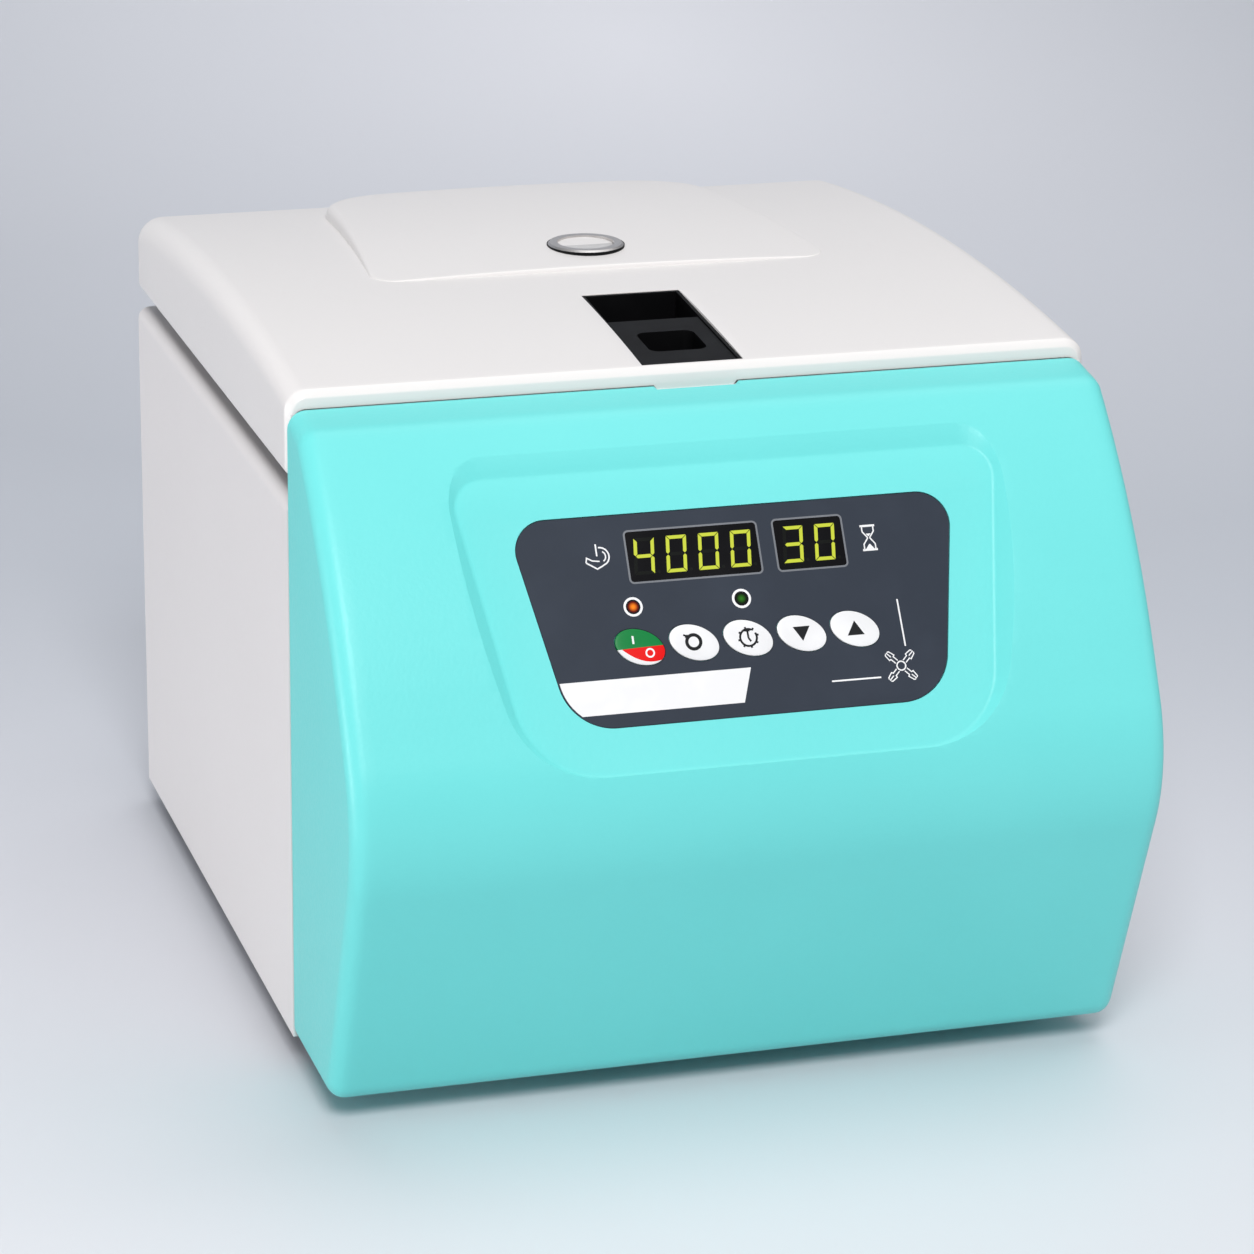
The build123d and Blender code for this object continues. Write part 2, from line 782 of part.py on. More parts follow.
def finger_cup(grow, h0, h1):
    """Rounded block of the paddle's finger cup, grown all round, between two heights."""
    cup = latch_block(-finger_half_width - grow, finger_half_width + grow, finger_front - grow,
                      finger_rear + grow, h0, h1)
    rise = latch_plane.z_dir
    upright = cup.edges().filter_by(lambda edge: abs(edge.tangent_at(0).dot(rise)) > cos(radians(past)))
    return fillet(upright, finger_corner_radius + grow)


def latch_paddle():
    """Sliding plate with a deep finger cup."""
    half = pocket_half_width - housing_wall - seat_gap
    front = pocket_front + housing_wall + seat_gap
    bottom = seat_gap - paddle_bed
    top = bottom + paddle_thickness
    plate = latch_block(-half, half, front, well_front, bottom, top)
    plate += finger_cup(finger_wall, top - finger_depth - finger_wall, top)
    return plate - finger_cup(0, top - finger_depth, top + past)


def latch_hook():
    """Steel hook under the paddle: an upright arm and a nose that faces the bulkhead opening."""
    arm_top = lid_crease_z - paddle_bed
    arm = block(-hook_half_width, hook_half_width, hook_y(), hook_y() + hook_thickness, hook_nose_z, arm_top)
    top_trim = latch_block(-width, width, -width, width, seat_gap - paddle_bed, width)
    nose = block(-hook_half_width, hook_half_width, front_y + sheet + seat_gap, hook_y() + hook_thickness,
                 hook_nose_z, hook_nose_z + hook_nose_height)
    nose = chamfer(nose.edges().filter_by(Axis.X).group_by(Axis.Y)[0].sort_by(Axis.Z)[0],
                   hook_nose_height / 2)
    arm += block(-hook_half_width, hook_half_width, hook_y(), hook_y() + hook_thickness, arm_top,
                 arm_top + past)
    return (arm - top_trim) + nose


def lock_body():
    """Lid-lock actuator on the front of the bulkhead."""
    low = lock_z - lock_height / 2
    body = block(lock_x - lock_half_width, lock_x + lock_half_width, front_y - lock_depth, front_y, low, low
                 + lock_height)
    body = chamfer(body.edges().filter_by(Axis.X).group_by(Axis.Y)[0], sheet)
    return body - rod_y(lock_x, lock_z, front_y - lock_depth + sheet, front_y + past,
                        bolt_radius + running_gap)


def lock_bolt():
    """Bolt that goes through the striker's eye when the rotor runs."""
    bolt = rod_y(lock_x, lock_z, front_y - lock_depth + 2 * sheet, front_y + sheet, bolt_radius)
    return chamfer(bolt.edges().group_by(Axis.Y)[-1], seat_gap)


def lid_striker():
    """Steel tongue under the liner with an eye for the lock bolt."""
    y0 = front_y + sheet + striker_front_gap
    tongue = block(lock_x - striker_half_width, lock_x + striker_half_width, y0, y0 + striker_thickness,
                   lock_z - bolt_radius - striker_thickness, liner_z)
    foot = block(lock_x - striker_half_width, lock_x + striker_half_width, y0, y0 + striker_half_width,
                 liner_z - sheet, liner_z)
    return tongue + foot - rod_y(lock_x, lock_z, y0 - past, y0 + striker_thickness + past,
                                 bolt_radius + 2 * seat_gap)


# ---------------------------------------------------------------- hinge
def hinge_brackets():
    """Two root-side hinge ears on feet, standing on the cabinet's rear flange."""
    y0 = rear_y - top_flange
    ear = rod_x(hinge_y, hinge_z, -hinge_ear / 2, hinge_ear / 2, hinge_boss_radius)
    ear += block(-hinge_ear / 2, hinge_ear / 2, hinge_y - hinge_boss_radius,
                 hinge_y + hinge_boss_radius - sheet,
                 cabinet_top, hinge_z)
    ear += block(-4 * hinge_ear, hinge_ear / 2, y0, rear_y - top_edge_radius, cabinet_top,
                 cabinet_top + sheet)
    ear -= rod_x(hinge_y, hinge_z, -hinge_ear, hinge_ear, hinge_pin_radius)
    right = Pos(hinge_x, 0, 0) * ear
    return Compound([right, mirror(right, Plane.YZ)])


def hinge_pins():
    """Two headed pins through the ears and the lid's arms."""
    pin = rod_x(hinge_y, hinge_z, -hinge_ear / 2, 2 * hinge_ear + seat_gap, hinge_pin_radius)
    pin += rod_x(hinge_y, hinge_z, -hinge_ear / 2 - sheet, -hinge_ear / 2, hinge_pin_radius + sheet)
    right = Pos(hinge_x, 0, 0) * pin
    return Compound([right, mirror(right, Plane.YZ)])


def hinge_arms():
    """Two lid-side hinge arms that stand on the liner and reach back to the pins."""
    x0 = hinge_ear / 2 + seat_gap
    x1 = x0 + hinge_ear
    arm = rod_x(hinge_y, hinge_z, x0, x1, hinge_boss_radius)
    floor = liner_z + liner_thickness
    arm += block(x0, x1, hinge_y - hinge_arm_reach, hinge_y, floor, floor + hinge_arm_height / 2)
    arm += block(x0 - 2 * hinge_ear, x1, hinge_y - hinge_arm_reach, rear_y - liner_rear_gap, floor,
                 floor + sheet)
    arm -= rod_x(hinge_y, hinge_z, x0 - past, x1 + past, hinge_pin_radius + running_gap)
    right = Pos(hinge_x, 0, 0) * arm
    return Compound([right, mirror(right, Plane.YZ)])


# ---------------------------------------------------------------- chamber and drive
def chamber_bowl():
    """Spun bowl with a rolled rim on the deck and a raised neck round the shaft."""
    rim_radius = bowl_outer + bowl_rim
    half = Polyline(
        (bowl_hole_radius, bowl_underside), (bowl_outer - bowl_floor_radius, bowl_underside),
        (bowl_outer, bowl_underside + bowl_floor_radius), (bowl_outer, deck_top), (rim_radius, deck_top),
        (rim_radius, cabinet_top), (bowl_radius, cabinet_top),
        (bowl_radius, bowl_floor + bowl_floor_radius), (bowl_radius - bowl_floor_radius, bowl_floor),
        (bowl_hole_radius + bowl_wall, bowl_floor), (bowl_hole_radius + bowl_wall,
                                                     bowl_floor + 2 * bowl_wall),
        (bowl_hole_radius, bowl_floor + 2 * bowl_wall), close=True,
    )
    return Pos(0, rotor_y, 0) * revolve(Plane.XZ * make_face(half), Axis.Z)


def mount_places():
    """Rubber mounts at the motor plate's corners."""
    reach = plate_half - mount_radius
    return [(sx * reach, rotor_y + sy * reach) for sx in (-1, 1) for sy in (-1, 1)]


def rubber_mounts():
    """Four vibration mounts between the base studs and the motor plate."""
    return Compound([rod(x, y, plate_bottom - mount_height, plate_bottom, mount_radius) for x,
                     y in mount_places()])


def motor_plate():
    """Plate that carries the motor under the bowl."""
    plate = block(-plate_half, plate_half, rotor_y - plate_half, rotor_y + plate_half, plate_bottom,
                  plate_top)
    plate = fillet(plate.edges().filter_by(Axis.Z), mount_radius)
    return plate - rod(0, rotor_y, plate_bottom - past, plate_top + past, bowl_hole_radius)


def motor_body():
    """Brushless motor can with a mounting flange and the running bore for its shaft."""
    low = plate_bottom - motor_height
    can = rod(0, rotor_y, low, plate_bottom, motor_radius)
    can = fillet(can.edges().group_by(Axis.Z)[0], top_edge_radius)
    can += rod(0, rotor_y, plate_bottom, plate_top, bowl_hole_radius - seat_gap)
    return can - rod(0, rotor_y, plate_bottom - motor_bore_depth, plate_top + past,
                     shaft_radius + running_gap)


def shaft_boot():
    """Rubber boot that closes the gap between the motor plate and the bowl's neck."""
    ring = rod(0, rotor_y, plate_top, bowl_underside, bowl_hole_radius + 2 * bowl_wall)
    return ring - rod(0, rotor_y, plate_top - past, bowl_underside + past, bowl_hole_radius - bowl_wall)


def motor_shaft():
    """Drive shaft from the motor to the rotor's nut."""
    low = plate_bottom - motor_bore_depth + seat_gap
    return rod(0, rotor_y, low, rotor_top() + nut_height / 2, shaft_radius)


def rotor_top():
    """Top face of the rotor's hub."""
    return trunnion_z + hub_height / 4


def carrier_turn(index):
    """Turn about the rotor axis for one carrier."""
    return Pos(0, rotor_y, 0) * Rot(0, 0, 360 / carrier_count * index)


def rotor_head():
    """Cross-shaped head: a stepped hub and four arms that end in paired trunnion ears."""
    top = rotor_top()
    hub = rod(0, 0, top - hub_height, top, hub_radius)
    hub = chamfer(hub.edges().group_by(Axis.Z)[0], sheet)
    corner = ear_inner + ear_thickness / 2
    arm_reach = hypot(corner, corner)
    arm_z = trunnion_z
    arm = block(0, arm_reach, -arm_half_width, arm_half_width, arm_z - arm_height / 2, arm_z + arm_height / 2)
    ear_end = ear_inner + ear_length
    ear = block(ear_inner, ear_end, ear_inner, ear_inner + ear_thickness, arm_z - ear_height / 2,
                arm_z + ear_height / 2)
    ear = fillet(ear.edges().filter_by(Axis.Y).group_by(Axis.X)[-1], ear_height / 3)
    ear -= rod_y(trunnion_reach, arm_z, ear_inner - past, ear_inner + ear_thickness + past, trunnion_radius)
    pair = ear + mirror(ear, Plane(origin=(0, 0, 0), z_dir=(1, -1, 0)))
    head = hub
    for index in range(carrier_count):
        turn = Rot(0, 0, 360 / carrier_count * index)
        head += turn * (Rot(0, 0, 45) * arm)
        head += turn * pair
    head -= rod(0, 0, top - hub_height - past, top + past, shaft_radius)
    return Pos(0, rotor_y, 0) * head


def trunnion_pins():
    """Eight pins, two for each carrier, pressed in the head's ears."""
    tip = cheek_outer - groove_depth + seat_gap
    pins = []
    for index in range(carrier_count):
        for side in (-1, 1):
            y0, y1 = sorted((side * tip, side * (ear_inner + ear_thickness)))
            pins.append(carrier_turn(index) * rod_y(trunnion_reach, trunnion_z, y0, y1, trunnion_radius))
    return Compound(pins)


def rotor_nut():
    """Fluted nut that holds the head on the shaft."""
    top = rotor_top()
    nut = rod(0, 0, top, top + nut_height, nut_radius)
    nut = chamfer(nut.edges().group_by(Axis.Z)[-1], past)
    for index in range(nut_flutes):
        nut -= Rot(0, 0, 360 / nut_flutes * index) * rod(nut_radius + past, 0, top - past,
                                                         top + nut_height + past, flute_radius)
    nut -= rod(0, 0, top - past, top + nut_height / 2, shaft_radius)
    return Pos(0, rotor_y, 0) * nut


# ---------------------------------------------------------------- slide carriers
def at_carrier(index, solid):
    """Carry a piece drawn about a trunnion axis (X out, Y across, Z up) to its carrier."""
    return carrier_turn(index) * Pos(trunnion_reach, 0, trunnion_z) * solid


def carrier_frame():
    """Tray with lips for the slide and two grooved cheeks that hang on the trunnion pins."""
    low = -carrier_drop
    tray = block(-tray_half_width, tray_half_width, -cheek_outer, cheek_outer, low, low + tray_thickness)
    for side in (-1, 1):
        x0, x1 = sorted((side * tray_half_width, side * (tray_half_width - tray_lip)))
        tray += block(x0, x1, -cheek_outer, cheek_outer, low, low + tray_lip_height)
    slot = Pos(0, 0, low) * extrude(Rot(0, 0, 90) * SlotOverall(window_length, window_width),
                                    4 * tray_thickness, both=True)
    tray -= slot
    low_corner = (tray_half_width, low)
    shoulder = (cheek_top_radius, 0)
    side_face = make_face(Polyline(low_corner, shoulder, (-shoulder[0], 0), (-low_corner[0], low),
                                   close=True))
    side_face += Circle(cheek_top_radius)
    pin_room = trunnion_radius + running_gap
    groove_face = Circle(pin_room) + Pos(0, low / 2) * Rectangle(2 * pin_room, -low + 2 * past)
    for side in (-1, 1):
        cheek = extrude(Plane.XZ * side_face, cheek_thickness)
        start = -cheek_inner if side < 0 else cheek_outer
        tray += Pos(0, start, 0) * cheek
        groove = extrude(Plane.XZ * groove_face, groove_depth + past)
        groove_start = cheek_outer + past if side > 0 else -cheek_outer + groove_depth
        tray -= Pos(0, groove_start, 0) * groove
    return tray


def glass_slide():
    """Microscope slide on the tray."""
    return Pos(0, 0, slide_z + slide_thickness / 2) * Box(slide_width, slide_length, slide_thickness)


def sample_chamber():
    """Funnel chamber on its base, with the filter card fixed under it."""
    base = Pos(0, 0, chamber_z + chamber_base / 2) * Box(card_width, chamber_base_length, chamber_base)
    half = Polyline(
        (outlet_radius, chamber_z), (chamber_radius, chamber_z), (chamber_radius,
                                                                  funnel_rise - funnel_height),
        (funnel_radius, 0), (funnel_radius, funnel_rise), (funnel_radius - chamber_skin, funnel_rise),
        (funnel_radius - chamber_skin, 0), (chamber_bore, funnel_rise - funnel_height),
        (chamber_bore, clip_z + clip_thickness), (outlet_radius, clip_z), close=True,
    )
    tube = revolve(Plane.XZ * make_face(half), Axis.Z)
    chamber = base - rod(0, 0, chamber_z - past, clip_z + past, outlet_radius) + tube
    card = Pos(0, 0, card_z + card_thickness / 2) * Box(card_width, card_length, card_thickness)
    card -= rod(0, 0, card_z - past, card_z + past, outlet_radius)
    return [chamber, card]


def chamber_clip():
    """Spring strap across the chamber's base, with bent ends that rest on the slide."""
    half = cheek_inner - seat_gap
    strap = block(-clip_width / 2, clip_width / 2, -half, half, clip_z, clip_z + clip_thickness)
    for side in (-1, 1):
        y0, y1 = sorted((side * half, side * (half - clip_thickness)))
        strap += block(-clip_width / 2, clip_width / 2, y0, y1, card_z, clip_z + clip_thickness)
    return strap - rod(0, 0, clip_z - past, clip_z + clip_thickness + past, chamber_radius + seat_gap)


# ---------------------------------------------------------------- electrics
def power_supply():
    """Supply and motor-drive board on the base pan, with its choke, capacitors and standoffs."""
    board_z = pan_floor + supply_rise
    x0, x1 = supply_margin - inner_x, -plate_half - supply_margin
    y0, y1 = front_y + supply_front_gap, rotor_y + plate_half
    board = block(x0, x1, y0, y1, board_z, board_z + board_thickness)
    top = board_z + board_thickness
    board += block(x0 + choke_margin, x1 - choke_margin, y0 + choke_margin, y0 + choke_margin + choke_length,
                   top, top + choke_height)
    for step in range(capacitor_count):
        y = y0 + capacitor_first + capacitor_pitch * step
        board += rod((x0 + x1) / 2, y, top, top + capacitor_height, capacitor_radius)
    for x in (x0 + standoff_margin, x1 - standoff_margin):
        for y in (y0 + standoff_margin, y1 - standoff_margin):
            board += rod(x, y, pan_floor, board_z, sheet)
    return board


def power_inlet():
    """Flanged inlet with a three-blade socket and a slot for the fuse drawer."""
    flange = block(inlet_x - inlet_flange_width / 2, inlet_x + inlet_flange_width / 2, rear_y,
                   rear_y + inlet_proud,
                   inlet_z - inlet_flange_height / 2, inlet_z + inlet_flange_height / 2)
    flange = fillet(flange.edges().filter_by(Axis.Y), top_edge_radius)
    body = block(inlet_x - inlet_body_width / 2, inlet_x + inlet_body_width / 2, rear_y - inlet_body_depth,
                 rear_y,
                 inlet_z - inlet_body_height / 2, inlet_z + inlet_body_height / 2)
    middle = inlet_x + socket_x
    socket = block(middle - socket_width / 2, middle + socket_width / 2, rear_y + inlet_proud - socket_depth,
                   rear_y + 2 * inlet_proud, inlet_z - socket_height / 2, inlet_z + socket_height / 2)
    socket = chamfer(socket.edges().filter_by(Axis.Y).group_by(Axis.Z)[-1], blade_height)
    inlet = flange + body - socket
    floor = rear_y + inlet_proud - socket_depth
    for x, z in ((-blade_spacing, -blade_width / 2), (0, blade_width), (blade_spacing, -blade_width / 2)):
        inlet += block(middle + x - blade_width / 2, middle + x + blade_width / 2, floor,
                       floor + blade_length,
                       inlet_z + z - blade_height / 2, inlet_z + z + blade_height / 2)
    return inlet - drawer_block(seat_gap)


def switch_frame():
    """Switch housing with a rimmed opening for the rocker."""
    flange = block(-switch_width / 2 - switch_flange, switch_width / 2 + switch_flange, rear_y,
                   rear_y + inlet_proud - seat_gap, -switch_height / 2 - switch_flange,
                   switch_height / 2 + switch_flange)
    flange = fillet(flange.edges().filter_by(Axis.Y), switch_flange / 2)
    body = block(-switch_width / 2, switch_width / 2, rear_y - switch_depth, rear_y, -switch_height / 2,
                 switch_height / 2)
    pocket_half = rocker_half_height + 4 * seat_gap
    pocket = block(-switch_width / 2 + sheet, switch_width / 2 - sheet, rear_y - 2 * rocker_depth - sheet,
                   rear_y + depth,
                   -pocket_half, pocket_half)
    bearing = rod_x(rocker_pivot_y, 0, -switch_width / 2 + past / 2, switch_width / 2 - past / 2,
                    rocker_axle_radius + running_gap)
    return Pos(switch_x, 0, inlet_z) * (flange + body - pocket - bearing)


def switch_rocker():
    """Rocker with two slanted faces, stored with its upper side pressed in."""
    valley = rear_y - rocker_sink
    end = valley + rocker_half_height * tan(radians(rocker_tilt))
    low = valley - rocker_depth
    narrow = rocker_half_height - 2 * sheet
    half = switch_width / 2 - sheet - seat_gap
    side = Polyline((valley, 0), (end, rocker_half_height), (low, narrow), (low, -narrow),
                    (end, -rocker_half_height),
                    close=True)
    rocker = extrude(Plane.YZ * make_face(side), half, both=True)
    reach = switch_width / 2 - past
    rocker += rod_x(rocker_pivot_y, 0, -reach, reach, rocker_axle_radius)
    pressed = Pos(0, rocker_pivot_y, 0) * Rot(rocker_tilt, 0, 0) * Pos(0, -rocker_pivot_y, 0) * rocker
    return Pos(switch_x, 0, inlet_z) * pressed


def drawer_block(grow):
    """Block of the fuse drawer, or the slot for it."""
    x = inlet_x + drawer_x
    half_x = drawer_width / 2 + grow
    half_z = drawer_height / 2 + grow
    top_y = rear_y + inlet_proud + (past if grow else 0)
    return block(x - half_x, x + half_x, rear_y + inlet_proud - drawer_depth - grow, top_y,
                 inlet_z - half_z, inlet_z + half_z)


def fuse_drawer():
    """Fuse drawer beside the socket, with a finger groove across its face."""
    x = inlet_x + drawer_x
    groove = block(x - drawer_width, x + drawer_width, rear_y + inlet_proud - drawer_grip, rear_y + depth,
                   inlet_z + drawer_height / 4 - drawer_grip, inlet_z + drawer_height / 4 + drawer_grip)
    return drawer_block(0) - groove


# ---------------------------------------------------------------- writing the nodes
parts = {
    "base_pan": base_pan(),
    "cabinet_wrap": cabinet_wrap(),
    "feet": feet(),
    "front_bulkhead": front_bulkhead(),
    "top_deck": top_deck(),
    "front_cover": front_cover(),
    "keypad_panel": keypad_panel(),
    "indicator_leds": indicator_leds(),
    "control_board": control_board(),
    "lid_shell": lid_shell(),
    "lid_liner": lid_liner(),
    "lid_gasket": lid_gasket(),
    "sight_glass_bezel": sight_glass_bezel(),
    "sight_glass": sight_glass(),
    "latch_housing": latch_housing(),
    "latch_paddle": latch_paddle(),
    "latch_hook": latch_hook(),
    "lock_body": lock_body(),
    "lock_bolt": lock_bolt(),
    "lid_striker": lid_striker(),
    "hinge_brackets": hinge_brackets(),
    "hinge_pins": hinge_pins(),
    "hinge_arms": hinge_arms(),
    "chamber_bowl": chamber_bowl(),
    "rubber_mounts": rubber_mounts(),
    "motor_plate": motor_plate(),
    "motor_body": motor_body(),
    "shaft_boot": shaft_boot(),
    "motor_shaft": motor_shaft(),
    "rotor_head": rotor_head(),
    "trunnion_pins": trunnion_pins(),
    "rotor_nut": rotor_nut(),
    "power_supply": power_supply(),
    "power_inlet": power_inlet(),
    "fuse_drawer": fuse_drawer(),
    "switch_frame": switch_frame(),
    "switch_rocker": switch_rocker(),
}
for name, x, display_width in display_places:
    parts[name] = display(x, display_width)
for index, name in enumerate(key_names):
    parts[name] = key(index)
for index in range(carrier_count):
    number = index + 1
    parts[f"carrier_frame_{number}"] = at_carrier(index, carrier_frame())
    parts[f"glass_slide_{number}"] = at_carrier(index, glass_slide())
    parts[f"sample_chamber_{number}"] = Compound([at_carrier(index, piece) for piece in sample_chamber()])
    parts[f"chamber_clip_{number}"] = at_carrier(index, chamber_clip())

os.makedirs("parts", exist_ok=True)
for name, solid in parts.items():
    export_step(solid, f"parts/{name}.step")
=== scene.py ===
"""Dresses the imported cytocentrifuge: moulded covers, printed keypad, lit displays, metalwork and studio."""
from __future__ import annotations

import logging
import math
from collections.abc import Callable, Iterable, Sequence
from dataclasses import dataclass
from dataclasses import field as dc_field
from enum import Enum

import bmesh
import bpy
from mathutils import Matrix, Vector


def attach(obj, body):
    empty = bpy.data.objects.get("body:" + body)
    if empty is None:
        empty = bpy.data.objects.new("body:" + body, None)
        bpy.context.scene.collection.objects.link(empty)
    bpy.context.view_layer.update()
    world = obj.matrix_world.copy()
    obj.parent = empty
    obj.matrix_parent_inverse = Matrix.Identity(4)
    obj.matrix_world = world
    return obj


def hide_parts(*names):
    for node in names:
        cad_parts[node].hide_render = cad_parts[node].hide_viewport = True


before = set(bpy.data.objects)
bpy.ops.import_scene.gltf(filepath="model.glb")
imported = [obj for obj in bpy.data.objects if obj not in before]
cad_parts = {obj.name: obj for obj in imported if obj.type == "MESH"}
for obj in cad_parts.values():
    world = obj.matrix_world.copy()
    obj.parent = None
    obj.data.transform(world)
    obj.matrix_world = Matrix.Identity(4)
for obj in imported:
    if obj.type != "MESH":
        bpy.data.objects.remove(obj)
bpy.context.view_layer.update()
MM = 0.001
LOG = logging.getLogger("cytocentrifuge")

Point2 = tuple[float, float]
Colour = tuple[float, float, float]
Faces = list[list[int]]
Skin = tuple[list[Vector], Faces]
Stroke = tuple[list[Point2], float]
Place = Callable[[float, float, float], Vector]


# ---------------- shared planes and places, in millimetres
@dataclass(frozen=True)
class Corner:
    """A corner of an outline, in millimetres, with the radius that rounds it."""

    a: float
    b: float
    radius: float = 0.0


@dataclass(frozen=True)
class Slope:
    """A sloping face seen from the side: its origin and its tilt back from upright."""

    y: float
    z: float
    tilt: float

    def at(self, across: float, up: float, out: float = 0.0) -> Vector:
        """Place on the slope in metres, from millimetres across it, up it and out of it."""
        rise, back = math.sin(math.radians(self.tilt)), math.cos(math.radians(self.tilt))
        return Vector((across, self.y + up * rise - out * back, self.z + up * back + out * rise)) * MM

    def local(self, y: float, z: float) -> Point2:
        """Distance up the slope and out of it of a place in the side view."""
        rise, back = math.sin(math.radians(self.tilt)), math.cos(math.radians(self.tilt))
        return (y - self.y) * rise + (z - self.z) * back, (z - self.z) * rise - (y - self.y) * back

    def normal(self) -> Vector:
        """Outward direction."""
        return Vector((0.0, -math.cos(math.radians(self.tilt)), math.sin(math.radians(self.tilt))))


RECESS = Slope(-197.5, 143.0, 32.0)
LATCH = Slope(-97.0, 268.7, 90.0 - 4.4436)
LEVEL = Slope(0.0, 0.0, 90.0)
PANEL_FACE, INK_ROOT = -0.3, 0.02
FRONT_Y = -100.0
REAR_Y = 198.0
ROTOR_Y = 49.0
HALF_WIDTH = 157.5
PANEL_CORNERS = (Corner(-71.8, 19.5, 20), Corner(71.8, 19.5, 20),
                 Corner(86.3, 98.7, 12), Corner(-86.3, 98.7, 12))
RECESS_CORNERS = (Corner(-88.5, 2, 32), Corner(88.5, 2, 32),
                  Corner(106.5, 116.3, 12), Corner(-106.5, 116.3, 12))
# Each display: place across the panel, width and figures.
DISPLAYS = {"speed": (-16.9, 50.3, "4000"), "time": (28.3, 26.3, "30")}
DISPLAY_V, DISPLAY_HEIGHT = 82.5, 19.0
LAMPS_AT = ((-42.8, 63.8), (-1.2, 63.6))
LAMP_RADIUS = 2.1
KEYS = ("start_stop_key", "speed_key", "time_key", "down_key", "up_key")
KEY_X, KEY_PITCH, KEY_V, KEY_TILT = -42.5, 20.75, 48.6, -22.0
KEY_LONG, KEY_SHORT = 9.6, 6.4
DECK_SCREWS_RADIUS, DECK_SCREWS_Z = 138.6, 226.2
# An edge folded by more than this may be bevelled; a mitre longer than its inverse is cut short.
FOLD = math.radians(35)
MITRE = 0.5


# ---------------- shader toolkit
class Value:
    """A shader value; Python's operators on it add Math nodes."""

    def __init__(self, graph: Graph, socket: bpy.types.NodeSocket) -> None:
        """Wraps one output socket of a graph."""
        self.graph = graph
        self.socket = socket

    def __add__(self, other: Number) -> Value:
        """Sum."""
        return self.graph.math("ADD", self, other)

    __radd__ = __add__

    def __sub__(self, other: Number) -> Value:
        """Difference."""
        return self.graph.math("SUBTRACT", self, other)

    def __rsub__(self, other: Number) -> Value:
        """Reflected difference."""
        return self.graph.math("SUBTRACT", other, self)

    def __mul__(self, other: Number) -> Value:
        """Product."""
        return self.graph.math("MULTIPLY", self, other)

    __rmul__ = __mul__

    def __truediv__(self, other: Number) -> Value:
        """Quotient."""
        return self.graph.math("DIVIDE", self, other)

    def __gt__(self, other: Number) -> Value:
        """One where the value is greater."""
        return self.graph.math("GREATER_THAN", self, other)

    def __lt__(self, other: Number) -> Value:
        """One where the value is less."""
        return self.graph.math("LESS_THAN", self, other)


Number = float | Value


class Tree:
    """A node tree that is built from here."""

    def __init__(self, tree: bpy.types.NodeTree) -> None:
        """Wraps a tree."""
        self.tree = tree

    def node(self, kind: str, settings: dict[str, object] | None = None, **inputs: object) -> bpy.types.Node:
        """Adds a node.

        Args:
            kind: Blender's node type.
            settings: attributes to set first; "stops" gives a ramp's (place, colour) pairs.
            inputs: values or links by socket name, with underscores for spaces.

        Returns:
            The new node.
        """
        made = self.tree.nodes.new(kind)
        for key, value in (settings or {}).items():
            if key == "stops":
                fill_ramp(made.color_ramp, value)
            else:
                setattr(made, key, value)
        for key, value in inputs.items():
            self.feed(socket_named(made.inputs, key.replace("_", " ")), value)
        return made

    def feed(self, socket: bpy.types.NodeSocket, value: object) -> None:
        """Links or sets one input socket.

        Args:
            socket: the input.
            value: a value, an output to link, or a plain setting.
        """
        if isinstance(value, Value):
            self.tree.links.new(value.socket, socket)
        elif isinstance(value, bpy.types.NodeSocket):
            self.tree.links.new(value, socket)
        else:
            socket.default_value = value


